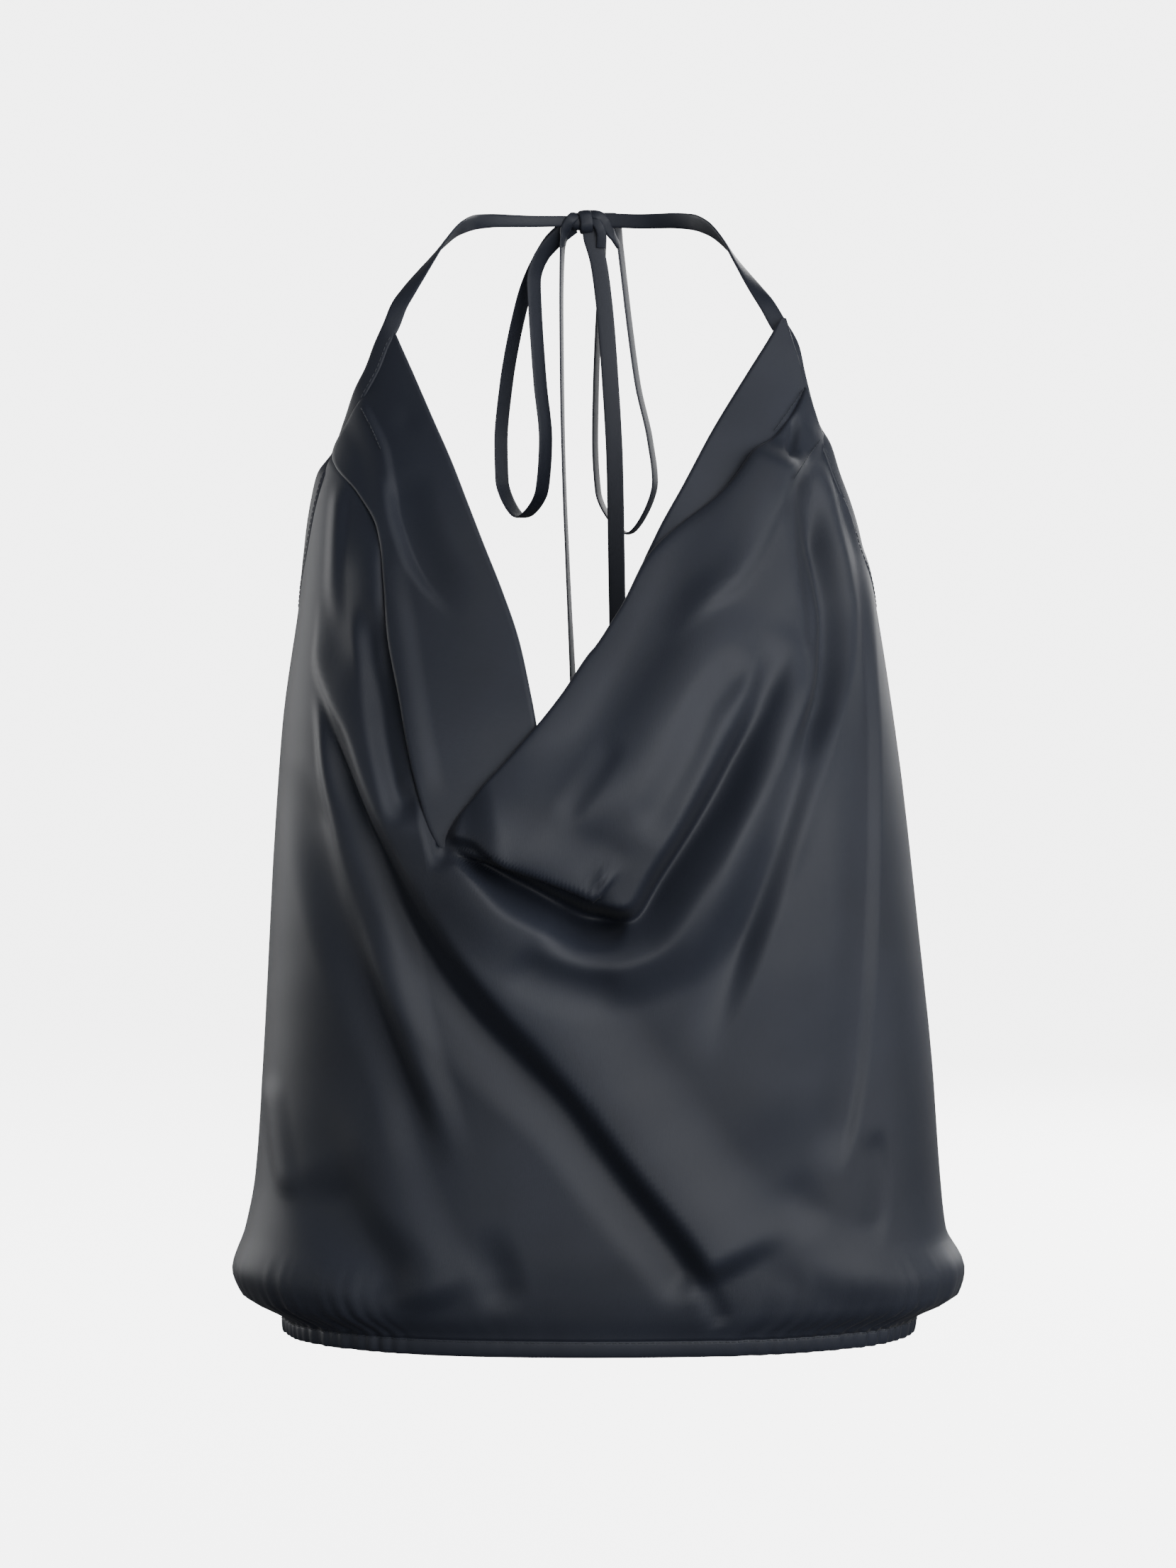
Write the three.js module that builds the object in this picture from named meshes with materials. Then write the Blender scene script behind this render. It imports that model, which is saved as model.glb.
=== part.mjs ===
import * as THREE from 'three';

// A backless halter neck top of satin, kept in the hollow form it has when it is worn.
// Millimetres, +Z up, the front faces -Y, +X is the right hand side seen from the front.
// The origin is the inner face of the neck strap at the nape.

// Cloth and its finished edges
const WALL = 1.4;
const SEAM_GAP = 1.25;
const HEM_GAP = 0.9;
const BINDING_WIDTH = 8.5;
const BINDING_WALL = 2.0;

// Hem casing with its elastic
const HEM_BOTTOM = -545;
const CASING_HEIGHT = 8.5;
const CASING_WALL = 2.6;
const GATHER_COUNT = 96;
const GATHER_RISE = 1.0;
const GATHER_FADE = 26;

// The sections are a little squarer than an ellipse
const SQUARENESS = 0.85;
const SIDE_SEAM = Math.PI / 2;
const UNDERARM = -190;
const CENTRE_BACK_TOP = -390;

// Sections from the top down: half widths, and the y of the front, the back and the side
const SECTIONS = [
  { z: -40, left: 107, right: 106, front: -92, back: 20, side: -72 },
  { z: -82, left: 120, right: 111, front: -116, back: 20, side: -79 },
  { z: -109, left: 129, right: 117, front: -133, back: 20, side: -83 },
  { z: -137, left: 136, right: 127, front: -149, back: 18, side: -88 },
  { z: -165, left: 140, right: 133, front: -163, back: 16, side: -92 },
  { z: -190, left: 143, right: 138, front: -175, back: 15, side: -94 },
  { z: -248, left: 151, right: 147, front: -200, back: 12, side: -95 },
  { z: -303, left: 155, right: 154, front: -210, back: 4, side: -95 },
  { z: -358, left: 158, right: 160, front: -210, back: 0, side: -95 },
  { z: -414, left: 161, right: 166, front: -207, back: 2, side: -95 },
  { z: -469, left: 165, right: 170, front: -206, back: 12, side: -95 },
  { z: -495, left: 170, right: 173, front: -206, back: 22, side: -95 },
  { z: -514, left: 176, right: 182, front: -205, back: 28, side: -95 },
  { z: -526, left: 171, right: 179, front: -202, back: 25, side: -95 },
  { z: -537, left: 151, right: 158, front: -197, back: 9, side: -95 },
  { z: -560, left: 150, right: 155, front: -194, back: 7, side: -95 },
];

// Outer edge of the front at the armhole, down to the underarm
const ARMHOLE = [
  { z: -50, left: 92, right: 87 },
  { z: -58, left: 95.5, right: 91 },
  { z: -70, left: 99.8, right: 94.5 },
  { z: -82, left: 105.3, right: 97.6 },
  { z: -95, left: 113.5, right: 102.3 },
  { z: -109, left: 122, right: 107.5 },
  { z: -137, left: 132.2, right: 123.4 },
  { z: -165, left: 138.5, right: 131.2 },
  { z: UNDERARM, left: 143, right: 138.8 },
];

// Top edge of the lower cowl sheet: it starts under the left tuck, runs hidden behind the upper
// fold, turns at the corner and climbs to the right shoulder
const COWL_TOP = [
  { x: -123, z: -112 },
  { x: -112, z: -127 },
  { x: -101, z: -143 },
  { x: -94, z: -170 },
  { x: -90, z: -205 },
  { x: -83, z: -240 },
  { x: -77, z: -275 },
  { x: -66, z: -308 },
  { x: -60, z: -290 },
  { x: -53, z: -277 },
  { x: -39, z: -262 },
  { x: -15, z: -233 },
  { x: 11, z: -196 },
  { x: 27, z: -167 },
  { x: 44, z: -151 },
  { x: 61, z: -139 },
  { x: 81, z: -115 },
  { x: 97, z: -86 },
];

// Upper cowl fold from the left shoulder to the right one: neckline edge, outer edge and how far
// each stands off the section surface
const NECK_FOLD = [
  { nx: -93.4, nz: -61.6, ox: -96.6, oz: -61, nl: 0, ol: 0 },
  { nx: -88, nz: -76, ox: -101.8, oz: -75, nl: 0, ol: 0 },
  { nx: -78, nz: -98, ox: -114, oz: -96, nl: 0, ol: 0.2 },
  { nx: -68, nz: -120, ox: -126, oz: -117, nl: 0, ol: 0.3 },
  { nx: -60, nz: -140, ox: -113, oz: -136, nl: 0, ol: 1.2 },
  { nx: -52, nz: -160, ox: -103, oz: -153, nl: 0, ol: 2.0 },
  { nx: -43, nz: -182, ox: -99, oz: -178, nl: 0, ol: 2.6 },
  { nx: -35, nz: -205, ox: -97, oz: -203, nl: 0, ol: 2.8 },
  { nx: -29, nz: -232, ox: -91, oz: -232, nl: -1, ol: 3.2 },
  { nx: -25, nz: -252, ox: -84, oz: -264, nl: -3.5, ol: 4 },
  { nx: -19, nz: -264, ox: -76.5, oz: -291, nl: -5.5, ol: 5.4 },
  { nx: -12, nz: -271, ox: -67, oz: -298, nl: -7, ol: -2.5 },
  { nx: -4, nz: -273, ox: -55, oz: -301.5, nl: -7, ol: -7 },
  { nx: 4, nz: -268, ox: -24, oz: -300, nl: -7, ol: -7 },
  { nx: 9, nz: -255, ox: 4, oz: -292, nl: -7, ol: -7 },
  { nx: 12, nz: -235, ox: 30, oz: -268, nl: -7, ol: -7 },
  { nx: 16, nz: -205, ox: 52, oz: -235, nl: -6, ol: -7 },
  { nx: 21, nz: -176, ox: 66, oz: -203, nl: -4, ol: -6.5 },
  { nx: 31, nz: -153, ox: 75, oz: -173, nl: -3, ol: -6 },
  { nx: 44, nz: -130, ox: 83, oz: -143, nl: -2, ol: -5 },
  { nx: 59, nz: -103, ox: 90, oz: -111, nl: -1, ol: -4 },
  { nx: 75.5, nz: -77, ox: 97, oz: -84, nl: -0.5, ol: -2.6 },
  { nx: 87, nz: -58.8, ox: 90.2, oz: -58.5, nl: 0, ol: 0 },
];

// Folds of the front: the line each follows, how far it stands out or in, and how wide it is on
// its two sides; it fades out over its start and end
const FADE = 18;
const FRONT_FOLDS = [
  { name: 'flap_step', rise: -3.8, a: 28, b: 9, start: 6, end: 8,
    path: [[-146, -102], [-120, -114], [-104, -136], [-94, -156], [-91, -191], [-86, -224], [-80, -256], [-73, -286],
      [-66, -312]] },
  { name: 'lower_cowl_edge', rise: 4, a: 14, b: 14, start: 8,
    path: [[-68, -304], [-53, -279], [-27, -251], [11, -198], [27, -170], [61, -142], [88, -108]] },
  { name: 'lower_cowl_roll', rise: 7, a: 30, b: 30,
    path: [[-58, -299], [-28, -290], [10, -275], [40, -235], [62, -190], [82, -145], [97, -112]] },
  { name: 'pocket', rise: -11, a: 17, b: 18,
    path: [[-62, -303], [-34, -321], [-17, -330], [4, -337], [20, -331], [32, -317], [53, -294], [69, -268],
      [81, -249], [91, -226], [97, -195]] },
  { name: 'third_rim', rise: 7, a: 15, b: 24, start: 44,
    path: [[-84, -292], [-62, -310], [-34, -334], [4, -350], [39, -334], [60, -310], [82, -280],
      [101, -243], [106, -215]] },
  { name: 'long_diagonal', rise: 9, a: 24, b: 15,
    path: [[-137, -204], [-118, -243], [-102, -276], [-79, -322], [-53, -361], [-24, -394], [4, -430], [37, -475],
      [59, -515]] },
  { name: 'diagonal_trough', rise: -6, a: 14, b: 14,
    path: [[-122, -262], [-102, -299], [-74, -352], [-29, -401], [6, -442], [39, -486], [56, -512]] },
  { name: 'left_ridge', rise: 5, a: 14, b: 10,
    path: [[-134, -225], [-124, -262], [-116, -302], [-101, -339], [-92, -374], [-80, -420]] },
  { name: 'left_trough', rise: -5, a: 12, b: 12,
    path: [[-138, -262], [-125, -300], [-112, -335], [-100, -375], [-85, -410], [-67, -456]] },
  { name: 'right_trough', rise: -8, a: 14, b: 14,
    path: [[112, -130], [118, -173], [125, -205], [112, -234], [97, -275], [86, -306], [74, -345], [60, -385],
      [44, -408]] },
  { name: 'right_line', rise: -4, a: 9, b: 9,
    path: [[118, -125], [129, -170], [131, -251], [130, -353], [126, -410], [115, -456]] },
  { name: 'right_swell', rise: 5, a: 26, b: 26,
    path: [[122, -260], [110, -320], [100, -370], [88, -420], [80, -460]] },
  { name: 'right_tuck', rise: 3, a: 9, b: 9, start: 5,
    path: [[114, -106], [96, -127], [88, -143], [76, -166], [56, -188], [40, -202]] },
  { name: 'low_left_hollow', rise: -5, a: 22, b: 22,
    path: [[-140, -455], [-118, -482], [-96, -505]] },
  { name: 'low_centre_hollow', rise: -4, a: 14, b: 14,
    path: [[-50, -490], [-43, -510], [-40, -526]] },
  { name: 'blouse_band', rise: 5, a: 14, b: 12,
    path: [[80, -470], [96, -490], [118, -504], [150, -508]] },
  { name: 'low_right_hollow', rise: -4, a: 14, b: 14,
    path: [[136, -445], [138, -465], [128, -490]] },
];

// The left arm of the upper fold: its stitched tuck opens into a soft valley
const UPPER_FOLDS = [
  { name: 'tuck_valley', rise: -3, a: 13, b: 11, start: 8,
    path: [[-112, -92], [-101, -118], [-96, -144], [-88, -165], [-76, -186], [-62, -198]] },
  { name: 'flap_roll', rise: 2.5, a: 12, b: 12, path: [[-99, -150], [-93, -190], [-88, -224], [-82, -258], [-76, -284]] },
];

// Folds of the back, which hangs from its scooped edge
const BACK_FOLDS = [
  { name: 'left_drape', rise: 5, a: 20, b: 20, path: [[-118, -300], [-100, -360], [-80, -430], [-66, -500]] },
  { name: 'left_back_trough', rise: -5, a: 18, b: 18, path: [[-128, -330], [-115, -400], [-100, -490]] },
  { name: 'centre_trough', rise: -5, a: 20, b: 20, path: [[-34, -400], [-28, -450], [-34, -515]] },
  { name: 'centre_swell', rise: 4, a: 22, b: 22, path: [[8, -405], [14, -455], [10, -510]] },
  { name: 'right_drape', rise: 5, a: 20, b: 20, path: [[122, -290], [104, -360], [86, -430], [70, -505]] },
  { name: 'right_back_trough', rise: -5, a: 18, b: 18, path: [[134, -340], [122, -410], [106, -495]] },
];

// Neck ties: centre line with the direction of the width at each row
const STRAP_LEFT = [
  { x: -98.2, y: -89, z: -54, wx: -0.75, wy: 0.3, wz: 0.5 },
  { x: -94.6, y: -83.2, z: -44.5, wx: -0.75, wy: 0.4, wz: 0.4 },
  { x: -89.6, y: -74, z: -36, wx: -0.7, wy: 0.55, wz: 0.2 },
  { x: -80.8, y: -60, z: -23, wx: -0.5, wy: 0.7, wz: -0.15 },
  { x: -73, y: -49, z: -12.5, wx: -0.3, wy: 0.75, wz: -0.5 },
  { x: -65, y: -37, z: -4.5, wx: -0.15, wy: 0.55, wz: -0.8 },
  { x: -57, y: -22, z: -1, wx: 0, wy: 0.1, wz: -1 },
  { x: -46, y: -10, z: 0, wx: 0, wy: 0, wz: -1 },
  { x: -31, y: -1.5, z: 0, wx: 0, wy: 0, wz: -1 },
  { x: -14.6, y: 2.2, z: 0.7, wx: 0, wy: 0, wz: -1 },
];
const STRAP_RIGHT = [
  { x: 90.6, y: -87, z: -53, wx: 0.75, wy: 0.3, wz: 0.5 },
  { x: 85.6, y: -81, z: -44, wx: 0.75, wy: 0.4, wz: 0.4 },
  { x: 79.6, y: -72, z: -35, wx: 0.65, wy: 0.6, wz: 0.15 },
  { x: 71.5, y: -58, z: -22.5, wx: 0.45, wy: 0.75, wz: -0.25 },
  { x: 65, y: -47, z: -12.5, wx: 0.25, wy: 0.75, wz: -0.55 },
  { x: 57, y: -36, z: -4.5, wx: 0.1, wy: 0.5, wz: -0.85 },
  { x: 49, y: -22, z: -1, wx: 0, wy: 0.1, wz: -1 },
  { x: 38, y: -10, z: 0, wx: 0, wy: 0, wz: -1 },
  { x: 25, y: -1.5, z: 0, wx: 0, wy: 0, wz: -1 },
  { x: 9.4, y: 2.2, z: 0.7, wx: 0, wy: 0, wz: -1 },
];

// Bow: loops leave the knot, hang and come back; tails hang to their free ends
const KNOT = { x: -2.6, y: 4.6, z: 0.9, halfX: 12.2, halfY: 4.6, halfZ: 6.3 };
const LOOP_LEFT = [
  { x: -14.7, y: 7, z: 1.2, wx: 0, wy: 0, wz: 1 },
  { x: -16.6, y: 7.1, z: 1.1, wx: 0.05, wy: 0.05, wz: 1 },
  { x: -20.5, y: 9.8, z: -1.5, wx: 0.35, wy: 0.3, wz: 0.85 },
  { x: -26, y: 13, z: -9, wx: 0.65, wy: 0.5, wz: 0.5 },
  { x: -31.5, y: 18.5, z: -22, wx: 0.8, wy: 0.6, wz: 0.1 },
  { x: -36.5, y: 25, z: -40, wx: 0.8, wy: 0.6, wz: 0 },
  { x: -43.6, y: 34, z: -80, wx: 0.8, wy: 0.6, wz: 0 },
  { x: -46.5, y: 38, z: -110, wx: 0.8, wy: 0.6, wz: 0 },
  { x: -46, y: 38, z: -130, wx: 0.8, wy: 0.6, wz: 0 },
  { x: -36, y: 25, z: -148.4, wx: 0.8, wy: 0.6, wz: 0 },
  { x: -25.5, y: 11, z: -135, wx: 0.8, wy: 0.6, wz: 0 },
  { x: -23.6, y: 8, z: -109, wx: 0.8, wy: 0.6, wz: 0 },
  { x: -26.4, y: 10, z: -80, wx: 0.8, wy: 0.6, wz: 0 },
  { x: -28.5, y: 11, z: -45, wx: 0.8, wy: 0.6, wz: 0 },
  { x: -27, y: 10, z: -25, wx: 0.8, wy: 0.6, wz: 0.1 },
  { x: -23, y: 8, z: -12, wx: 0.65, wy: 0.5, wz: 0.5 },
  { x: -19, y: 6.6, z: -4.4, wx: 0.35, wy: 0.3, wz: 0.85 },
  { x: -16.4, y: 5.3, z: -1, wx: 0.05, wy: 0.05, wz: 1 },
  { x: -14.7, y: 5.2, z: -0.9, wx: 0, wy: 0, wz: 1 },
];
const LOOP_RIGHT = [
  { x: 10.2, y: 6.2, z: 0.4, wx: 0, wy: 0, wz: 1 },
  { x: 11.3, y: 6.4, z: 0.2, wx: 0.05, wy: 0.05, wz: 1 },
  { x: 13, y: 9, z: -4.5, wx: 0.3, wy: 0.6, wz: 0.75 },
  { x: 14.2, y: 11, z: -13, wx: 0.34, wy: 0.94, wz: 0.2 },
  { x: 16.2, y: 12, z: -30, wx: 0.34, wy: 0.94, wz: 0 },
  { x: 19.2, y: 11.5, z: -55, wx: 0.34, wy: 0.94, wz: 0 },
  { x: 23, y: 10.5, z: -82, wx: 0.34, wy: 0.94, wz: 0 },
  { x: 29, y: 9, z: -109, wx: 0.34, wy: 0.94, wz: 0 },
  { x: 31.6, y: 8, z: -131, wx: 0.34, wy: 0.94, wz: 0 },
  { x: 18, y: 12.5, z: -156.7, wx: 0.34, wy: 0.94, wz: 0 },
  { x: 3, y: 18, z: -136, wx: 0.34, wy: 0.94, wz: 0 },
  { x: 1.4, y: 18.5, z: -109, wx: 0.34, wy: 0.94, wz: 0 },
  { x: 1.9, y: 18, z: -80, wx: 0.34, wy: 0.94, wz: 0 },
  { x: 3.4, y: 16.5, z: -45, wx: 0.34, wy: 0.94, wz: 0 },
  { x: 5, y: 13, z: -20, wx: 0.34, wy: 0.94, wz: 0 },
  { x: 5.6, y: 7.6, z: -8, wx: 0.3, wy: 0.95, wz: 0 },
  { x: 5.6, y: 7.4, z: -6.3, wx: 0.3, wy: 0.95, wz: 0 },
];
const TAIL_LEFT = [
  { x: -8, y: 5.6, z: -5.9, wx: 0.8, wy: 0.6, wz: 0 },
  { x: -8.3, y: 5.6, z: -7.4, wx: 0.75, wy: 0.65, wz: 0 },
  { x: -14, y: 6.4, z: -16, wx: 0.3, wy: 0.95, wz: 0 },
  { x: -15.6, y: 6.4, z: -40, wx: 0.2, wy: 0.98, wz: 0 },
  { x: -15.3, y: 6, z: -80, wx: 0.2, wy: 0.98, wz: 0 },
  { x: -14.4, y: 5, z: -123, wx: 0.18, wy: 0.98, wz: 0 },
  { x: -12.1, y: 5, z: -181, wx: 0.22, wy: 0.98, wz: 0 },
  { x: -9.5, y: 6, z: -240, wx: 0.35, wy: 0.94, wz: 0 },
  { x: -7, y: 7, z: -334, wx: 0.6, wy: 0.8, wz: 0 },
];
const TAIL_RIGHT = [
  { x: -0.6, y: 2.3, z: -5.7, wx: 1, wy: 0, wz: 0 },
  { x: -0.5, y: 2.3, z: -7.4, wx: 1, wy: 0, wz: 0 },
  { x: 3, y: 2.4, z: -20, wx: 1, wy: 0, wz: 0 },
  { x: 6.4, y: 2.2, z: -46, wx: 1, wy: 0.05, wz: 0 },
  { x: 9, y: 1.5, z: -80, wx: 1, wy: 0.1, wz: 0 },
  { x: 11.3, y: 1, z: -123, wx: 1, wy: 0.1, wz: 0 },
  { x: 12.3, y: 1, z: -181, wx: 1, wy: 0.05, wz: 0 },
  { x: 13.4, y: 2, z: -240, wx: 1, wy: -0.1, wz: 0 },
  { x: 14.4, y: 3, z: -305, wx: 1, wy: -0.15, wz: 0 },
];

const SATIN = { color: 0x1b2130, roughness: 0.45, metalness: 0 };
const BINDING = { color: 0x202635, roughness: 0.5, metalness: 0 };

const DEPTH_WEIGHT = 3;

const clamp = (value, low, high) => Math.min(high, Math.max(low, value));

function smooth(low, high, value) {
  const t = clamp((value - low) / (high - low), 0, 1);
  return t * t * (3 - 2 * t);
}

// A smooth line through the rows that never overshoots them
function along(rows, key, name, at) {
  const sign = rows[rows.length - 1][key] > rows[0][key] ? 1 : -1;
  const x = (i) => rows[i][key] * sign;
  const y = (i) => rows[i][name];
  const last = rows.length - 1;
  const value = clamp(at * sign, x(0), x(last));
  let i = 0;
  while (i < last - 1 && value > x(i + 1)) {
    i += 1;
  }
  const slope = (k) => (y(k + 1) - y(k)) / (x(k + 1) - x(k));
  const tangent = (k) => {
    if (k === 0) {
      return slope(0);
    }
    if (k === last) {
      return slope(last - 1);
    }
    const before = slope(k - 1);
    const after = slope(k);
    return before * after <= 0 ? 0 : (2 * before * after) / (before + after);
  };
  const h = x(i + 1) - x(i);
  const t = (value - x(i)) / h;
  const t2 = t * t;
  const t3 = t2 * t;
  return (2 * t3 - 3 * t2 + 1) * y(i) + (t3 - 2 * t2 + t) * h * tangent(i)
    + (3 * t2 - 2 * t3) * y(i + 1) + (t3 - t2) * h * tangent(i + 1);
}

const numbered = (rows) => rows.map((row, t) => ({ ...row, t }));

// Point of the plain section surface; angle 0 is the centre front, +-90 degrees the sides
function sectionPoint(angle, z) {
  const s = Math.sin(angle);
  const c = Math.cos(angle);
  const half = along(SECTIONS, 'z', s < 0 ? 'left' : 'right', z);
  const side = along(SECTIONS, 'z', 'side', z);
  const reach = c > 0 ? side - along(SECTIONS, 'z', 'front', z) : along(SECTIONS, 'z', 'back', z) - side;
  const x = half * Math.sign(s) * Math.abs(s) ** SQUARENESS;
  const y = side - reach * Math.sign(c) * Math.abs(c) ** SQUARENESS;
  return new THREE.Vector3(x, y, z);
}

function frontAngle(x, z) {
  const half = along(SECTIONS, 'z', x < 0 ? 'left' : 'right', z);
  const s = clamp(Math.abs(x) / half, 0, 1) ** (1 / SQUARENESS);
  return Math.sign(x) * Math.asin(s);
}

// Where a point lies against a fold line: distance, hand, and the run before and after it
function against(path, x, z) {
  let best = { distance: Infinity, hand: 1, before: 0, after: 0 };
  let run = 0;
  let total = 0;
  for (let i = 0; i + 1 < path.length; i += 1) {
    total += Math.hypot(path[i + 1][0] - path[i][0], path[i + 1][1] - path[i][1]);
  }
  for (let i = 0; i + 1 < path.length; i += 1) {
    const [ax, az] = path[i];
    const dx = path[i + 1][0] - ax;
    const dz = path[i + 1][1] - az;
    const length = Math.hypot(dx, dz);
    const t = clamp(((x - ax) * dx + (z - az) * dz) / (length * length), 0, 1);
    const ex = x - ax - dx * t;
    const ez = z - az - dz * t;
    const distance = Math.hypot(ex, ez);
    if (distance < best.distance) {
      const before = run + length * t;
      best = { distance, hand: Math.sign(dx * ez - dz * ex) || 1, before, after: total - before };
    }
    run += length;
  }
  return best;
}

function foldRise(folds, x, z) {
  let rise = 0;
  for (const fold of folds) {
    const { distance, hand, before, after } = against(fold.path, x, z);
    const width = hand > 0 ? fold.a : fold.b;
    if (distance < width) {
      const shape = 0.5 + 0.5 * Math.cos((Math.PI * distance) / width);
      const ends = smooth(0, fold.start ?? FADE, before) * smooth(0, fold.end ?? FADE, after);
      rise += fold.rise * shape * ends;
    }
  }
  return rise;
}

// Gathers of the elastic, flat at the centre front where the cloth lies smooth
function gatherRise(angle, z) {
  const flat = Math.abs(angle - 0.03) < SIDE_SEAM ? smooth(0.3, 0.62, Math.abs(angle + 0.1)) : 1;
  const fade = smooth(HEM_BOTTOM + CASING_HEIGHT + GATHER_FADE, HEM_BOTTOM + CASING_HEIGHT, z);
  return GATHER_RISE * Math.cos(GATHER_COUNT * angle) * flat * fade;
}

function clothPoint(angle, z, lift) {
  const step = 0.01;
  const point = sectionPoint(angle, z);
  const across = sectionPoint(angle + step, z).sub(sectionPoint(angle - step, z));
  const down = sectionPoint(angle, z - 1).sub(sectionPoint(angle, z + 1));
  const outward = new THREE.Vector3().crossVectors(down, across).normalize();
  const isFront = Math.cos(angle) >= 0;
  const fromSeam = smooth(0, 0.16, Math.abs(Math.cos(angle)));
  const folds = foldRise(isFront ? FRONT_FOLDS : BACK_FOLDS, point.x, z) * fromSeam;
  return point.addScaledVector(outward, folds + gatherRise(angle, z) + lift);
}

// Length of an edge that counts depth more, so that edges run along a fold and not across it
const edgeLength = (a, b) => Math.hypot(a.x - b.x, DEPTH_WEIGHT * (a.y - b.y), a.z - b.z);

// Faces between two rows of points; a face holds three pairs of row (0 upper, 1 lower) and place.
// Rows of one count meet in quads cut along their shorter diagonal, others step by step
function strip(upper, lower) {
  const faces = [];
  if (upper.length === lower.length) {
    for (let i = 0; i + 1 < upper.length; i += 1) {
      if (edgeLength(upper[i + 1], lower[i]) <= edgeLength(upper[i], lower[i + 1])) {
        faces.push([[0, i], [1, i], [0, i + 1]], [[0, i + 1], [1, i], [1, i + 1]]);
      } else {
        faces.push([[0, i], [1, i], [1, i + 1]], [[0, i], [1, i + 1], [0, i + 1]]);
      }
    }
    return faces;
  }
  let i = 0;
  let j = 0;
  while (i + 1 < upper.length || j + 1 < lower.length) {
    const nextUpper = i + 1 < upper.length ? (i + 1) / (upper.length - 1) : 2;
    const nextLower = j + 1 < lower.length ? (j + 1) / (lower.length - 1) : 2;
    if (nextUpper <= nextLower) {
      faces.push([[0, i], [1, j], [0, i + 1]]);
      i += 1;
    } else {
      faces.push([[0, i], [1, j], [1, j + 1]]);
      j += 1;
    }
  }
  return faces;
}

const join = (pattern, upper, lower) => pattern.map((face) => face.map(([row, i]) => (row ? lower : upper)[i]));

function bodyFrom(name, points, faces, finish) {
  let volume = 0;
  for (const [a, b, c] of faces) {
    volume += points[a].dot(new THREE.Vector3().crossVectors(points[b], points[c]));
  }
  const geometry = new THREE.BufferGeometry();
  geometry.setAttribute('position', new THREE.Float32BufferAttribute(points.flatMap((p) => [p.x, p.y, p.z]), 3));
  geometry.setIndex(faces.flatMap(([a, b, c]) => (volume < 0 ? [a, c, b] : [a, b, c])));
  geometry.computeVertexNormals();
  const mesh = new THREE.Mesh(geometry, new THREE.MeshStandardMaterial(finish));
  mesh.name = name;
  return mesh;
}

// A wall of cloth: rows of surface samples, thickened to both sides and closed at its rims
function clothWall(name, rows, wall, finish, ring = false) {
  const points = [];
  const add = (point) => points.push(point) - 1;
  const outer = rows.map((row) => row.map(({ point, normal }) => add(point.clone().addScaledVector(normal, wall / 2))));
  const inner = rows.map((row) => row.map(({ point, normal }) => add(point.clone().addScaledVector(normal, -wall / 2))));
  if (ring) {
    outer.forEach((row) => row.push(row[0]));
    inner.forEach((row) => row.push(row[0]));
  }
  const faces = [];
  const middle = rows.map((row) => [...row.map(({ point }) => point), ...(ring ? [row[0].point] : [])]);
  for (let r = 0; r + 1 < rows.length; r += 1) {
    const pattern = strip(middle[r], middle[r + 1]);
    faces.push(...join(pattern, outer[r], outer[r + 1]));
    faces.push(...join(pattern, inner[r], inner[r + 1]).map(([a, b, c]) => [a, c, b]));
  }
  const rim = (first, second) => {
    const at = (index) => points[index];
    faces.push(...join(strip(first.map(at), second.map(at)), first, second));
  };
  rim(inner[0], outer[0]);
  rim(outer[rows.length - 1], inner[rows.length - 1]);
  if (!ring) {
    const first = (row) => row[0];
    const final = (row) => row[row.length - 1];
    rim(inner.map(first).reverse(), outer.map(first).reverse());
    rim(inner.map(final), outer.map(final));
  }
  return bodyFrom(name, points, faces, finish);
}

const evenly = (count) => Array.from({ length: count + 1 }, (_, i) => i / count);

// Samples of a surface with its normals; each row has its own columns
function sampled(surface, heights, columns, ring = false) {
  const step = 0.004;
  return heights.map((v, r) => {
    const places = ring ? columns[r].slice(0, -1) : columns[r];
    return places.map((u) => {
      const u0 = ring ? u - step : Math.max(0, u - step);
      const u1 = ring ? u + step : Math.min(1, u + step);
      const across = surface(u1, v).sub(surface(u0, v));
      const down = surface(u, Math.min(1, v + step)).sub(surface(u, Math.max(0, v - step)));
      return { point: surface(u, v), normal: new THREE.Vector3().crossVectors(down, across).normalize() };
    });
  });
}

const CASING_TOP = HEM_BOTTOM + CASING_HEIGHT;
const PANEL_BOTTOM = CASING_TOP + HEM_GAP;
const SEAM_INSET = 0.0012;

function edgeAngle(hand, z) {
  if (z <= UNDERARM) {
    return hand * (SIDE_SEAM - SEAM_INSET);
  }
  const x = along(ARMHOLE, 'z', hand < 0 ? 'left' : 'right', z) * hand;
  return clamp(frontAngle(x, z), -SIDE_SEAM + SEAM_INSET, SIDE_SEAM - SEAM_INSET);
}

// The lower cowl sheet is the rest of the front, down to the hem
const COWL_TOP_LINE = COWL_TOP.map(({ x, z }) => {
  const left = edgeAngle(-1, z);
  const right = edgeAngle(1, z);
  return { u: (frontAngle(x, z) - left) / (right - left), z };
});
COWL_TOP_LINE[0].u = 0;
COWL_TOP_LINE[COWL_TOP_LINE.length - 1].u = 1;

// Rows follow the cowl's edge at the top and level out on their way down
const MEAN_TOP = -190;
const LEVELLING = 1.6;

function frontBody(u, v) {
  const top = along(COWL_TOP_LINE, 'u', 'z', u);
  const z = MEAN_TOP + (PANEL_BOTTOM - MEAN_TOP) * v + (top - MEAN_TOP) * (1 - v) ** LEVELLING;
  const left = edgeAngle(-1, z);
  const right = edgeAngle(1, z);
  return clothPoint(left + (right - left) * u, z, 0);
}

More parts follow.
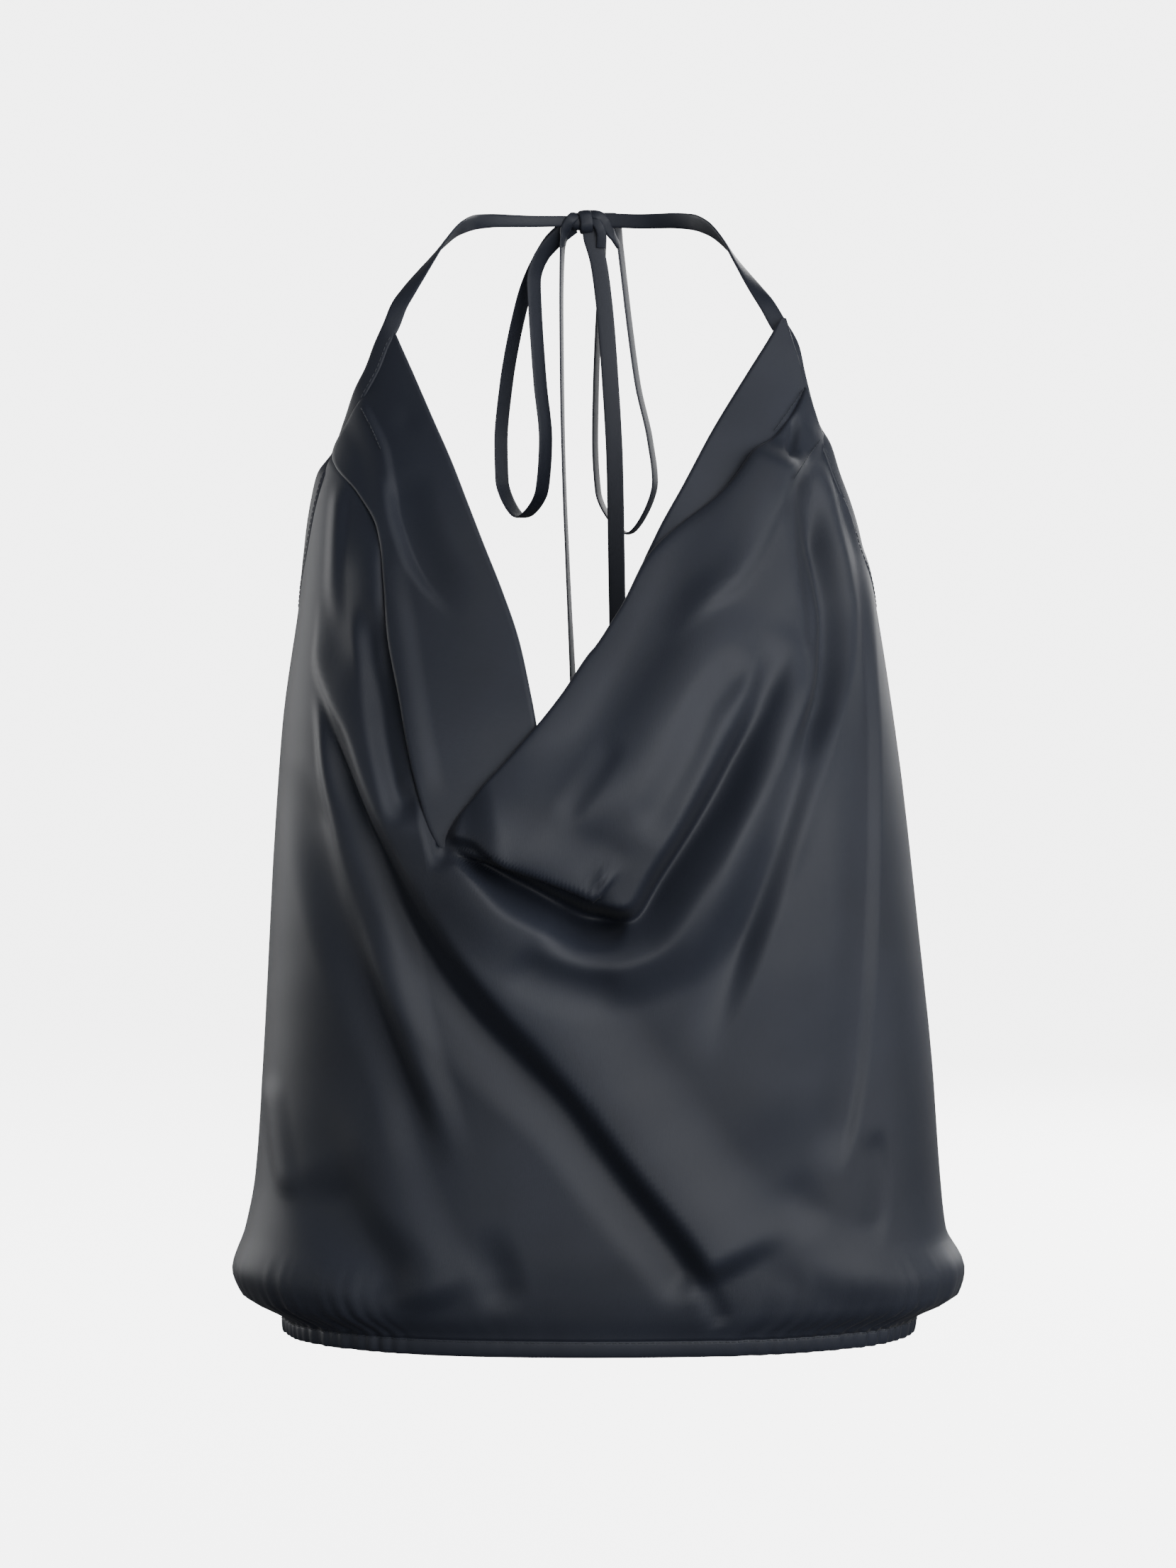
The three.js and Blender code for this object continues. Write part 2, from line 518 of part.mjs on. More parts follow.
// Rows close together in the cowl, wider below and fine again where the cloth is gathered
function heights(cowlRows, bodyRows, cowlEnd, gatherStart) {
  const rows = [];
  for (let i = 0; i < cowlRows; i += 1) {
    rows.push((cowlEnd * i) / cowlRows);
  }
  for (let i = 0; i <= bodyRows; i += 1) {
    rows.push(cowlEnd + ((gatherStart - cowlEnd) * i) / bodyRows);
  }
  return rows;
}

// Even columns, of which the nearest one moves to each turn of the top edge
function columnsThrough(count, turns) {
  const columns = evenly(count);
  turns.forEach((u) => {
    const nearest = Math.round(u * count);
    columns[nearest] = u;
  });
  return columns;
}

const FRONT_COLUMNS = 46;
const HALF_GATHERS = GATHER_COUNT / 2;
const frontHeights = [...heights(20, 12, 0.46, 0.965), 0.983, 1];
const frontColumns = frontHeights.map(() => columnsThrough(FRONT_COLUMNS, COWL_TOP_LINE.map(({ u }) => u)));
frontColumns[frontColumns.length - 2] = evenly(HALF_GATHERS * 2);
frontColumns[frontColumns.length - 1] = evenly(HALF_GATHERS * 4);

// The back hangs from a scooped edge between the underarms
const BACK_TOP = [
  { angle: 0, z: CENTRE_BACK_TOP },
  { angle: 0.35, z: -382 },
  { angle: 0.7, z: -350 },
  { angle: 1.05, z: -298 },
  { angle: 1.35, z: -238 },
  { angle: SIDE_SEAM, z: UNDERARM },
];

function backPanel(u, v) {
  const turn = (2 * u - 1) * (SIDE_SEAM - SEAM_INSET);
  const top = along(BACK_TOP, 'angle', 'z', Math.abs(turn));
  const z = top + (PANEL_BOTTOM - top) * v;
  return clothPoint(Math.PI + turn, z, 0);
}

const BACK_COLUMNS = 30;
const backHeights = [0, 0.08, 0.16, 0.25, 0.34, 0.43, 0.52, 0.61, 0.7, 0.78, 0.85, 0.9, 0.94, 0.97, 1];
const backColumns = backHeights.map(() => evenly(BACK_COLUMNS));
backColumns[backColumns.length - 2] = evenly(HALF_GATHERS * 2);
backColumns[backColumns.length - 1] = evenly(HALF_GATHERS * 4);

const NECK_ROWS = numbered(NECK_FOLD);

function neckFold(u, v) {
  const t = u * (NECK_ROWS.length - 1);
  const at = (name) => along(NECK_ROWS, 't', name, t);
  const x = at('nx') + (at('ox') - at('nx')) * v;
  const z = at('nz') + (at('oz') - at('nz')) * v;
  const lift = at('nl') + (at('ol') - at('nl')) * v * v;
  const angle = frontAngle(x, z);
  const step = 0.01;
  const across = sectionPoint(angle + step, z).sub(sectionPoint(angle - step, z));
  const down = sectionPoint(angle, z - 1).sub(sectionPoint(angle, z + 1));
  const outward = new THREE.Vector3().crossVectors(down, across).normalize();
  return sectionPoint(angle, z).addScaledVector(outward, lift + foldRise(UPPER_FOLDS, x, z));
}

function casing(u, v) {
  const z = CASING_TOP + (HEM_BOTTOM - CASING_TOP) * v;
  return clothPoint(2 * Math.PI * u, z, 0);
}

// A flat strip: rows give its middle and the direction of its width
function ribbon(name, rows, samples, width, wall, finish) {
  const marked = numbered(rows);
  const last = rows.length - 1;
  const at = (t, names) => new THREE.Vector3(...names.map((key) => along(marked, 't', key, t)));
  const centre = (t) => at(t, ['x', 'y', 'z']);
  const points = [];
  const rings = [];
  for (let i = 0; i <= samples; i += 1) {
    const t = (last * i) / samples;
    const tangent = centre(Math.min(last, t + 0.02)).sub(centre(Math.max(0, t - 0.02))).normalize();
    const side = at(t, ['wx', 'wy', 'wz']);
    side.addScaledVector(tangent, -side.dot(tangent)).normalize();
    const face = new THREE.Vector3().crossVectors(tangent, side);
    const ring = [[1, 1], [-1, 1], [-1, -1], [1, -1]].map(([w, h]) => {
      const corner = centre(t).addScaledVector(side, (w * width) / 2).addScaledVector(face, (h * wall) / 2);
      return points.push(corner) - 1;
    });
    rings.push([...ring, ring[0]]);
  }
  const faces = [];
  const pointOf = (index) => points[index];
  for (let i = 0; i < samples; i += 1) {
    const pattern = strip(rings[i].map(pointOf), rings[i + 1].map(pointOf));
    faces.push(...join(pattern, rings[i], rings[i + 1]));
  }
  const [a, b, c, d] = rings[0];
  const [e, f, g, h] = rings[samples];
  faces.push([a, b, c], [a, c, d], [e, g, f], [e, h, g]);
  return bodyFrom(name, points, faces, finish);
}

// Finished edge of one half: from 0 at the shoulder down the armhole to 1 at the underarm, then
// along the back's scooped edge to 2 at the centre back
const SHOULDER_Z = -64;

function edgePlace(hand, s) {
  if (s <= 1) {
    const z = SHOULDER_Z + (UNDERARM - SHOULDER_Z) * s;
    return { angle: edgeAngle(hand, z), z };
  }
  const turn = SIDE_SEAM * (2 - s);
  return { angle: hand * (Math.PI - turn), z: along(BACK_TOP, 'angle', 'z', Math.abs(turn)) };
}

// Rows of the binding: it carries the edge on by its own width, along the section surface
function bindingRows(hand, places) {
  const step = 0.02;
  return places.map((s) => {
    const at = (place) => {
      const { angle, z } = edgePlace(hand, place);
      return clothPoint(angle, z, 0);
    };
    const { angle, z } = edgePlace(hand, s);
    const across = sectionPoint(angle + step, z).sub(sectionPoint(angle - step, z));
    const down = sectionPoint(angle, z - 1).sub(sectionPoint(angle, z + 1));
    const outward = new THREE.Vector3().crossVectors(down, across).normalize();
    const tangent = at(s + step).sub(at(Math.max(0, s - step))).normalize();
    const side = new THREE.Vector3().crossVectors(tangent, outward).normalize().multiplyScalar(-hand);
    const middle = at(s).addScaledVector(side, BINDING_WIDTH / 2 + SEAM_GAP);
    return { x: middle.x, y: middle.y, z: middle.z, wx: side.x, wy: side.y, wz: side.z };
  });
}

const ARMHOLE_PLACES = [0.9995, 0.94, 0.87, 0.79, 0.7, 0.6, 0.5, 0.4, 0.3, 0.2, 0.1, 0];

function halterTie(name, hand, rows) {
  const armhole = bindingRows(hand, ARMHOLE_PLACES);
  return ribbon(name, [...armhole, ...rows], 60, BINDING_WIDTH, BINDING_WALL, BINDING);
}

function backBinding() {
  const half = Array.from({ length: BACK_COLUMNS / 2 + 1 }, (_, i) => Math.max(1.0008, 1 + (2 * i) / BACK_COLUMNS));
  const left = bindingRows(-1, half);
  const right = bindingRows(1, half.slice(0, -1)).reverse();
  const rows = [...left, ...right.map((row) => ({ ...row }))];
  return ribbon('back_edge_binding', rows, BACK_COLUMNS, BINDING_WIDTH, BINDING_WALL, BINDING);
}

// The knot is a rounded bundle of wrapped bands with a flat where each tie leaves it
const KNOT_END = 0.96;

function knot() {
  const around = 20;
  const length = 10;
  const surface = (u, v) => {
    const a = 2 * Math.PI * u;
    const t = clamp(2 * v - 1, -KNOT_END, KNOT_END);
    const end = (1 - t ** 8) ** 0.5;
    const band = 1 - 0.07 * (0.5 + 0.5 * Math.cos(6 * Math.PI * v));
    const y = KNOT.y + KNOT.halfY * Math.sign(Math.cos(a)) * Math.abs(Math.cos(a)) ** 0.7 * end * band;
    const z = KNOT.z + KNOT.halfZ * Math.sign(Math.sin(a)) * Math.abs(Math.sin(a)) ** 0.7 * end * band;
    return new THREE.Vector3(KNOT.x + KNOT.halfX * t, y, z);
  };
  const points = [];
  const rows = [];
  for (let r = 0; r <= length; r += 1) {
    const row = [];
    for (let i = 0; i < around; i += 1) {
      row.push(points.push(surface(i / around, r / length)) - 1);
    }
    rows.push([...row, row[0]]);
  }
  const faces = [];
  const pointOf = (index) => points[index];
  for (let r = 0; r < length; r += 1) {
    const pattern = strip(rows[r].map(pointOf), rows[r + 1].map(pointOf));
    faces.push(...join(pattern, rows[r], rows[r + 1]));
  }
  const caps = [points.push(new THREE.Vector3(KNOT.x - KNOT.halfX * KNOT_END, KNOT.y, KNOT.z)) - 1,
    points.push(new THREE.Vector3(KNOT.x + KNOT.halfX * KNOT_END, KNOT.y, KNOT.z)) - 1];
  for (let i = 0; i < around; i += 1) {
    faces.push([caps[0], rows[0][i], rows[0][i + 1]]);
    faces.push([caps[1], rows[length][i + 1], rows[length][i]]);
  }
  return bodyFrom('bow_knot', points, faces, BINDING);
}

const top = new THREE.Group();
top.name = 'halter_neck_top';
top.add(clothWall('front_body', sampled(frontBody, frontHeights, frontColumns), WALL, SATIN));
top.add(clothWall('front_neck_fold', sampled(neckFold, evenly(5), Array(6).fill(evenly(66))), WALL, SATIN));
top.add(clothWall('back_panel', sampled(backPanel, backHeights, backColumns), WALL, SATIN));
top.add(clothWall('hem_casing', sampled(casing, [0, 1], Array(2).fill(evenly(GATHER_COUNT * 3)), true), CASING_WALL, SATIN, true));
top.add(halterTie('halter_tie_left', -1, STRAP_LEFT));
top.add(halterTie('halter_tie_right', 1, STRAP_RIGHT));
top.add(backBinding());
top.add(knot());
top.add(ribbon('bow_loop_left', LOOP_LEFT, 44, BINDING_WIDTH, BINDING_WALL * 0.6, BINDING));
top.add(ribbon('bow_loop_right', LOOP_RIGHT, 44, BINDING_WIDTH, BINDING_WALL * 0.6, BINDING));
top.add(ribbon('bow_tail_left', TAIL_LEFT, 26, BINDING_WIDTH, BINDING_WALL * 0.6, BINDING));
top.add(ribbon('bow_tail_right', TAIL_RIGHT, 26, BINDING_WIDTH, BINDING_WALL * 0.6, BINDING));

export default top;
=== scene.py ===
# %% [markdown]
# # A backless halter top of dark satin
#
# The top is shown in the hollow form it has when it is worn. It hangs from its neck ties, which are
# tied in a bow at the nape. Its front is one bias cut piece whose spare cloth falls in a deep cowl,
# and an elastic casing gathers the hem. Sizes in the tables below are in millimetres.

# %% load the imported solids
import math
from collections import namedtuple

import bmesh
import bpy
import numpy as np
from mathutils import Matrix, Vector


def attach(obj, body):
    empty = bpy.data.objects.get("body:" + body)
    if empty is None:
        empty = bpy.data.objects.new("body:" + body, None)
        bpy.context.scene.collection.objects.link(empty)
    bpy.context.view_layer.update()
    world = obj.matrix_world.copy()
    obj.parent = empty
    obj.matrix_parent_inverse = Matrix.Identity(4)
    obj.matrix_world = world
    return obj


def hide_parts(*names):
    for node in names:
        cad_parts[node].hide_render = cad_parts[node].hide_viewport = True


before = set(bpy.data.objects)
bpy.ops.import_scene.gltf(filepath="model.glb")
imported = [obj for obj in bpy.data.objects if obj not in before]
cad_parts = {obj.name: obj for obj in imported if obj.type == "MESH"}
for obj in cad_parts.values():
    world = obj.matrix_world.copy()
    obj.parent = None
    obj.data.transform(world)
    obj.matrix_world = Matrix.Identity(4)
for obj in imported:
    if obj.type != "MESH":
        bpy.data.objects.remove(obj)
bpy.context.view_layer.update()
MM = 0.001
print("solids:", sorted(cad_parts))

# %% [markdown]
# ## Camera
#
# The photograph was taken from straight ahead, a little above the middle, with a long lens. A long
# lens from about three metres keeps the near and the far edge of the hem almost the same size, so
# the picture looks as flat as a shop's own pictures do.

# %% camera
CAMERA_AT = Vector((-0.0022, -3.1, -0.12))
LOOK_AT = Vector((-0.0022, -0.1, -0.2775))
LENS = 141.3

camera_data = bpy.data.cameras.new("camera")
camera_data.lens = LENS
camera_data.sensor_width = 36
camera = bpy.data.objects.new("camera", camera_data)
camera.location = CAMERA_AT
camera.rotation_euler = (LOOK_AT - CAMERA_AT).to_track_quat("-Z", "Y").to_euler()
bpy.context.collection.objects.link(camera)
bpy.context.scene.camera = camera
print("camera looks", round(math.degrees(camera.rotation_euler.x) - 90, 2), "degrees off level")

# %% [markdown]
# ## Smooth lines through a few rows
#
# A pattern cutter draws a curve through a few measured points. A monotone cubic does the same: it
# passes through every row and never swings past one, so a section can't bulge where it wasn't
# measured. It works on whole arrays, because a fine mesh asks for thousands of values at once.

# %% a line through rows that never overshoots
def through(places, values, at):
    places = np.asarray(places, float)
    values = np.asarray(values, float)
    if places[0] > places[-1]:
        places, values = places[::-1], values[::-1]
    at = np.clip(at, places[0], places[-1])
    slope = np.diff(values) / np.diff(places)
    tangent = np.zeros_like(values)
    tangent[0], tangent[-1] = slope[0], slope[-1]
    same = slope[:-1] * slope[1:] > 0
    before, after = slope[:-1][same], slope[1:][same]
    tangent[1:-1][same] = 2 * before * after / (before + after)
    i = np.clip(np.searchsorted(places, at) - 1, 0, len(places) - 2)
    h = places[i + 1] - places[i]
    t = (at - places[i]) / h
    return ((2 * t**3 - 3 * t**2 + 1) * values[i] + (t**3 - 2 * t**2 + t) * h * tangent[i]
            + (3 * t**2 - 2 * t**3) * values[i + 1] + (t**3 - t**2) * h * tangent[i + 1])


def smooth(low, high, value):
    t = np.clip((value - low) / (high - low), 0, 1)
    return t * t * (3 - 2 * t)


# %% [markdown]
# ## The form the cloth lies on
#
# The worn form is a stack of sections, a little squarer than an ellipse. Each row gives the half
# widths, and how far forward and back the section goes. The cloth blouses out just above the hem
# and turns sharply in to the elastic.

# %% sections of the worn form
Section = namedtuple("Section", "z left right front back side")
SECTIONS = [
    Section(-40, 107, 106, -92, 20, -72),
    Section(-82, 120, 111, -116, 20, -79),
    Section(-109, 129, 117, -133, 20, -83),
    Section(-137, 136, 127, -149, 18, -88),
    Section(-165, 140, 133, -163, 16, -92),
    Section(-190, 143, 138, -175, 15, -94),
    Section(-248, 151, 147, -200, 12, -95),
    Section(-303, 155, 154, -210, 4, -95),
    Section(-358, 158, 160, -210, 0, -95),
    Section(-414, 161, 166, -207, 2, -95),
    Section(-469, 165, 170, -206, 12, -95),
    Section(-495, 170, 173, -206, 22, -95),
    Section(-514, 176, 182, -205, 28, -95),
    Section(-526, 171, 179, -203.5, 25, -95),
    Section(-537, 151, 158, -201, 9, -95),
    Section(-560, 150, 155, -199, 7, -95),
]
SQUARENESS = 0.85
SIDE_SEAM = math.pi / 2
UNDERARM = -190
HEM_BOTTOM = -545
CASING_TOP = HEM_BOTTOM + 8.5
PANEL_BOTTOM = CASING_TOP - 1.6


def section_value(name, z):
    return through([row.z for row in SECTIONS], [getattr(row, name) for row in SECTIONS], z)


def form_point(angle, z):
    """Points of the plain form, angle 0 at the centre front and a quarter turn at each side."""
    s, c = np.sin(angle), np.cos(angle)
    half = np.where(s < 0, section_value("left", z), section_value("right", z))
    side = section_value("side", z)
    reach = np.where(c > 0, side - section_value("front", z), section_value("back", z) - side)
    x = half * np.sign(s) * np.abs(s) ** SQUARENESS
    y = side - reach * np.sign(c) * np.abs(c) ** SQUARENESS
    return np.stack([x, y, z + 0 * x], axis=-1)


def form_normal(angle, z):
    across = form_point(angle + 0.01, z) - form_point(angle - 0.01, z)
    down = form_point(angle, z - 1) - form_point(angle, z + 1)
    normal = np.cross(down, across)
    return normal / np.linalg.norm(normal, axis=-1, keepdims=True)


def front_angle(x, z):
    half = np.where(x < 0, section_value("left", z), section_value("right", z))
    return np.sign(x) * np.arcsin(np.clip(np.abs(x) / half, 0, 1) ** (1 / SQUARENESS))


print("hem is", 2 * 153, "mm wide")

# %% [markdown]
# ## Folds as soft ridges and troughs
#
# Cloth on the bias falls in folds that start at the tucks and fade out lower down. Each fold here
# is a line on the front with a height and a width on each side, so one side can be steep and the
# other a long slope, as on a real fold that leans over. A ridge that fades out at both ends looks
# like cloth; one that stops dead looks like a bead of clay.

# %% folds of the front
Fold = namedtuple("Fold", "name rise left right sharp fade_in fade_out path grow", defaults=[0])
FRONT_FOLDS = [
    Fold("flap_step", -6, 28, 9, 1, 10, 8,
         [(-146, -102), (-120, -114), (-104, -136), (-94, -156), (-91, -191), (-86, -224), (-80, -256),
          (-73, -286), (-66, -312)]),
    Fold("flap_shadow", -6, 15, 9, 1, 24, 14,
         [(-107, -186), (-103, -215), (-98, -245), (-92, -270), (-86, -294)]),
    Fold("lower_cowl_edge", 3, 10, 28, 1, 8, 18,
         [(-68, -304), (-53, -279), (-27, -251), (11, -198), (27, -170), (61, -142), (88, -108)]),
    Fold("lower_cowl_roll", 8, 34, 34, 1, 18, 18,
         [(-58, -299), (-28, -290), (10, -275), (40, -235), (62, -190), (82, -145), (97, -112)]),
    Fold("cowl_bottom", 6, 22, 5, 1, 8, 8,
         [(-69, -294), (-54, -298), (-36, -305), (-18, -312), (-2, -319), (6, -325)]),
    Fold("cowl_bottom_right", 4, 24, 12, 1, 8, 50,
         [(0, -326), (9, -327), (19, -312), (30, -296), (45, -276), (61, -253), (74, -233), (83, -211),
          (88, -190)]),
    Fold("pocket", -18, 9, 16, 1, 16, 12,
         [(-66, -304), (-50, -311), (-34, -320), (-17, -329), (2, -336), (16, -336)], 40),
    Fold("pocket_rise", -11, 13, 21, 1, 22, 30,
         [(-22, -330), (4, -340), (20, -336), (34, -313), (52, -286), (64, -268), (75, -248),
          (84, -226), (90, -202)]),
    Fold("third_rim", 7, 24, 30, 1, 40, 34,
         [(-84, -292), (-62, -308), (-34, -334), (4, -351), (34, -343), (53, -327), (69, -306), (81, -284),
          (87, -266), (91, -245), (96, -222), (101, -200)]),
    Fold("under_rim", -2, 14, 18, 1, 14, 14, [(-39, -352), (-20, -363), (-1, -367), (16, -369)]),
    Fold("long_diagonal", 8, 46, 12, 1, 120, 12,
         [(-131, -180), (-131, -212), (-123, -233), (-113, -249), (-102, -276), (-90, -301),
          (-79, -322), (-67, -341),
          (-53, -361), (-39, -378), (-24, -394), (-10, -411), (4, -430), (20, -453), (37, -475), (51, -494),
          (59, -510)], 130),
    Fold("diagonal_trough", -6, 10, 24, 1, 40, 14,
         [(-128, -240), (-119, -266), (-106, -300), (-95, -331), (-80, -356), (-59, -383), (-35, -406),
          (-14, -425), (3, -446), (20, -468), (37, -489), (54, -513)], 110),
    Fold("diagonal_hollow", -3, 18, 14, 1, 40, 60,
         [(-108, -285), (-93, -325), (-79, -350), (-59, -378), (-38, -399), (-18, -417)]),
    Fold("left_ridge", 4, 13, 15, 1, 40, 60,
         [(-133, -228), (-129, -246), (-123.5, -270), (-113, -300), (-102, -330), (-94, -362), (-84, -396),
          (-73, -428), (-63, -462)], 90),
    Fold("left_trough", -4, 13, 18, 1, 34, 50,
         [(-142, -262), (-134, -292), (-125, -325), (-112, -362), (-98, -395), (-85, -427), (-73, -462)]),
    Fold("low_left_swell", 4, 26, 22, 1, 34, 14,
         [(-114, -416), (-103, -450), (-91, -480), (-79, -508), (-71, -524)]),
    Fold("left_upper_shade", 3.5, 9, 22, 1, 26, 30, [(-108, -150), (-104, -180), (-104, -210), (-100, -240)]),
    Fold("left_band", 1.6, 6, 6, 1, 14, 30, [(-121, -128), (-123, -150), (-124, -176), (-121, -204)]),
    Fold("flap_follower", 2, 9, 8, 1, 14, 14, [(-103, -196), (-99, -226), (-92, -256), (-84, -284)]),
    Fold("cowl_line_long", -2.2, 10, 14, 1, 14, 18,
         [(73, -213), (65, -225), (55, -237), (44, -261), (32, -281), (22, -300)]),
    Fold("cowl_line_short", -1.3, 8, 10, 1, 10, 12, [(12, -251), (4, -265), (-6, -279), (-15, -293)]),
    Fold("tuck_dimple", -2.6, 4, 4.5, 1, 8, 8, [(99, -96), (97, -108), (93, -125)]),
    Fold("right_second_tuck", 1.5, 5, 16, 1, 8, 40,
         [(114, -106), (104, -119), (96, -127), (90, -139), (82, -153), (76, -166), (67, -179), (56, -187),
          (44, -198), (32, -212)]),
    Fold("tuck_shadow", -1.9, 18, 8, 1, 14, 36,
         [(96, -138), (90, -152), (83, -167), (72, -183), (58, -196), (44, -210)]),
    Fold("right_dark_fall", -8, 12, 22, 1, 20, 70,
         [(103, -120), (108, -140), (112, -158), (116, -176), (119, -194), (118, -210), (113, -229),
          (105, -250), (97, -270), (91, -288), (86, -303), (79, -325), (71, -348), (62, -373), (50, -406)]),
    Fold("right_deep_fall", -6, 9, 12, 1, 26, 34,
         [(107, -134), (113, -158), (118, -176), (121, -194), (120, -210), (115, -229), (106, -249),
          (94, -266)]),
    Fold("right_bright_fall", 1.2, 9, 9, 1, 14, 24, [(112, -118), (116, -144), (121, -163), (128, -184)]),
    Fold("right_inner_fall", -1.6, 9, 8, 1, 12, 16, [(101, -124), (103, -156), (106, -191), (106, -218)]),
    Fold("right_line", -3, 5, 24, 1, 14, 24,
         [(116, -116), (123, -144), (129, -166), (132, -190), (133, -216), (134, -251), (133, -300),
          (131, -353), (128, -402), (123, -433), (115, -460)]),
    Fold("right_swell", 2.4, 40, 34, 1, 60, 50,
         [(122, -260), (110, -320), (100, -370), (88, -420), (80, -460)]),
    Fold("right_low_line", -1.6, 5, 14, 1, 12, 12, [(136, -438), (139, -462), (138, -481), (130, -496)]),
    Fold("low_left_hollow", -4, 24, 26, 1, 22, 16, [(-138, -458), (-116, -488), (-98, -504), (-88, -518)]),
    Fold("left_ledge", 1.8, 9, 9, 1, 14, 14, [(-156, -415), (-152, -441), (-148, -462), (-144, -476)]),
    Fold("low_centre_hollow", -2.6, 15, 15, 1, 26, 12, [(-56, -480), (-46, -503), (-41, -524)]),
    Fold("blouse_band", 2, 24, 18, 1, 34, 24,
         [(76, -474), (91, -490), (115, -503), (139, -509), (152, -508)]),
    Fold("right_spot", -1.4, 14, 14, 1, 16, 16, [(110, -488), (100, -472), (92, -456)]),
    Fold("casing_pucker", -2, 8, 9, 1, 8, 4, [(50, -506), (57, -518), (62, -530)]),
]


# %% where a point lies against a fold
START_WIDTH = 0.25


def spline(path, pieces=6):
    """The path with its corners rounded, as cloth has none."""
    run = np.arange(len(path))
    fine = np.linspace(0, len(path) - 1, pieces * (len(path) - 1) + 1)
    return np.stack([through(run, [p[k] for p in path], fine) for k in (0, 1)], axis=-1)


def fold_rise(folds, x, z):
    rise = np.zeros_like(x)
    for fold in folds:
        line = spline(fold.path)
        margin = max(fold.left, fold.right)
        near = ((x > line[:, 0].min() - margin) & (x < line[:, 0].max() + margin)
                & (z > line[:, 1].min() - margin) & (z < line[:, 1].max() + margin))
        px, pz = x[near], z[near]
        best = np.full(px.shape, np.inf)
        hand = np.ones_like(px)
        run_at = np.zeros_like(px)
        run = 0.0
        for (ax, az), (bx, bz) in zip(line[:-1], line[1:]):
            dx, dz = bx - ax, bz - az
            length = math.hypot(dx, dz)
            t = np.clip(((px - ax) * dx + (pz - az) * dz) / length**2, 0, 1)
            ex, ez = px - ax - dx * t, pz - az - dz * t
            distance = np.hypot(ex, ez)
            closer = distance < best
            best = np.where(closer, distance, best)
            hand = np.where(closer, np.sign(dx * ez - dz * ex), hand)
            run_at = np.where(closer, run + length * t, run_at)
            run += length
        width = np.where(hand > 0, fold.left, fold.right)
        if fold.grow:
            width = width * (START_WIDTH + (1 - START_WIDTH) * smooth(0, fold.grow, run_at))
        shape = (0.5 + 0.5 * np.cos(np.pi * np.clip(best / width, 0, 1))) ** fold.sharp
        ends = smooth(0, fold.fade_in, run_at) * smooth(0, fold.fade_out, run - run_at)
        rise[near] += fold.rise * shape * ends
    return rise


print(len(FRONT_FOLDS), "folds on the front")

# %% [markdown]
# ## Folds of the back and gathers of the hem
#
# The back isn't in the picture. A low bias back of this kind drops in a few soft falls from its
# side seams, so it gets those. The elastic draws the cloth in to about a hundred small gathers, no
# two alike, which run out some centimetres above the casing. At the centre front it lies flat.

# %% folds of the back
BACK_FOLDS = [
    Fold("left_drape", 4, 26, 24, 1, 60, 50, [(-122, -296), (-104, -360), (-82, -430), (-62, -510)], 90),
    Fold("left_back_trough", -4, 24, 22, 1, 60, 60, [(-136, -318), (-120, -400), (-100, -505)], 80),
    Fold("left_small", 1.8, 10, 12, 1, 46, 50, [(-96, -346), (-76, -400), (-58, -462)], 60),
    Fold("centre_trough", -3, 26, 24, 1, 50, 40, [(-40, -398), (-30, -450), (-34, -522)], 60),
    Fold("centre_swell", 3, 26, 26, 1, 50, 40, [(6, -398), (13, -455), (10, -520)], 60),
    Fold("centre_small", -1.2, 12, 14, 1, 40, 40, [(30, -406), (36, -450), (50, -500)]),
    Fold("right_drape", 4, 24, 26, 1, 60, 50, [(126, -288), (106, -360), (86, -430), (66, -512)], 90),
    Fold("right_back_trough", -4, 22, 24, 1, 60, 60, [(138, -326), (124, -410), (104, -506)], 80),
    Fold("right_small", 1.8, 12, 10, 1, 46, 50, [(82, -356), (68, -410), (58, -474)], 60),
]

# %% gathers
GATHER_COUNT = 96
gather_random = np.random.default_rng(7)
gather_shift = gather_random.uniform(-0.28, 0.28, GATHER_COUNT)
gather_angles = (np.arange(GATHER_COUNT) + gather_shift) * (2 * np.pi / GATHER_COUNT)
gather_lengths = gather_random.uniform(12, 46, GATHER_COUNT)
gather_rises = gather_random.uniform(0.7, 1.5, GATHER_COUNT)
GATHER_WIDTH = 0.62 * 2 * np.pi / GATHER_COUNT


def flat_front(angle):
    """0 where the cloth lies flat at the centre front, 1 where it is gathered."""
    turn = (angle + np.pi) % (2 * np.pi) - np.pi
    return np.clip(smooth(0.34, 0.6, np.abs(turn + 0.12)), 0.12, 1)


def gather_rise(angle, z):
    rise = np.zeros_like(angle)
    low = z < CASING_TOP + 50
    for at, length, height in zip(gather_angles, gather_lengths, gather_rises):
        turn = (angle[low] - at + np.pi) % (2 * np.pi) - np.pi
        near = np.clip(np.abs(turn) / GATHER_WIDTH, 0, 1)
        fade = smooth(CASING_TOP + length, CASING_TOP, z[low])
        rise[low] += height * (0.5 + 0.5 * np.cos(np.pi * near)) * fade
    return (rise - 0.5 * smooth(CASING_TOP + 20, CASING_TOP, z)) * flat_front(angle)


def small_waves(x, z):
    """The slight unevenness of cloth that hangs free."""
    return (0.4 * np.sin(0.06 * x + 0.03 * z + 0.4) * np.sin(0.03 * x - 0.035 * z)
            + 0.06 * np.sin(0.16 * x - 0.09 * z + 1.7) * np.sin(0.07 * x + 0.11 * z + 0.6))


# The lower edge of the hanging cowl tips forward over the pocket, which makes the deep shadow there.
LIPS = [
    (Fold("bottom_lip", 6, 22, 6, 1, 22, 6,
          [(-58, -297), (-36, -305), (-18, -312), (-2, -319), (6, -324)]), (-0.2, -1)),
    (Fold("right_lip", 4, 6, 24, 1, 6, 60,
          [(3, -328), (9, -327), (19, -312), (30, -296), (45, -276), (61, -253)]), (1, -0.6)),
]


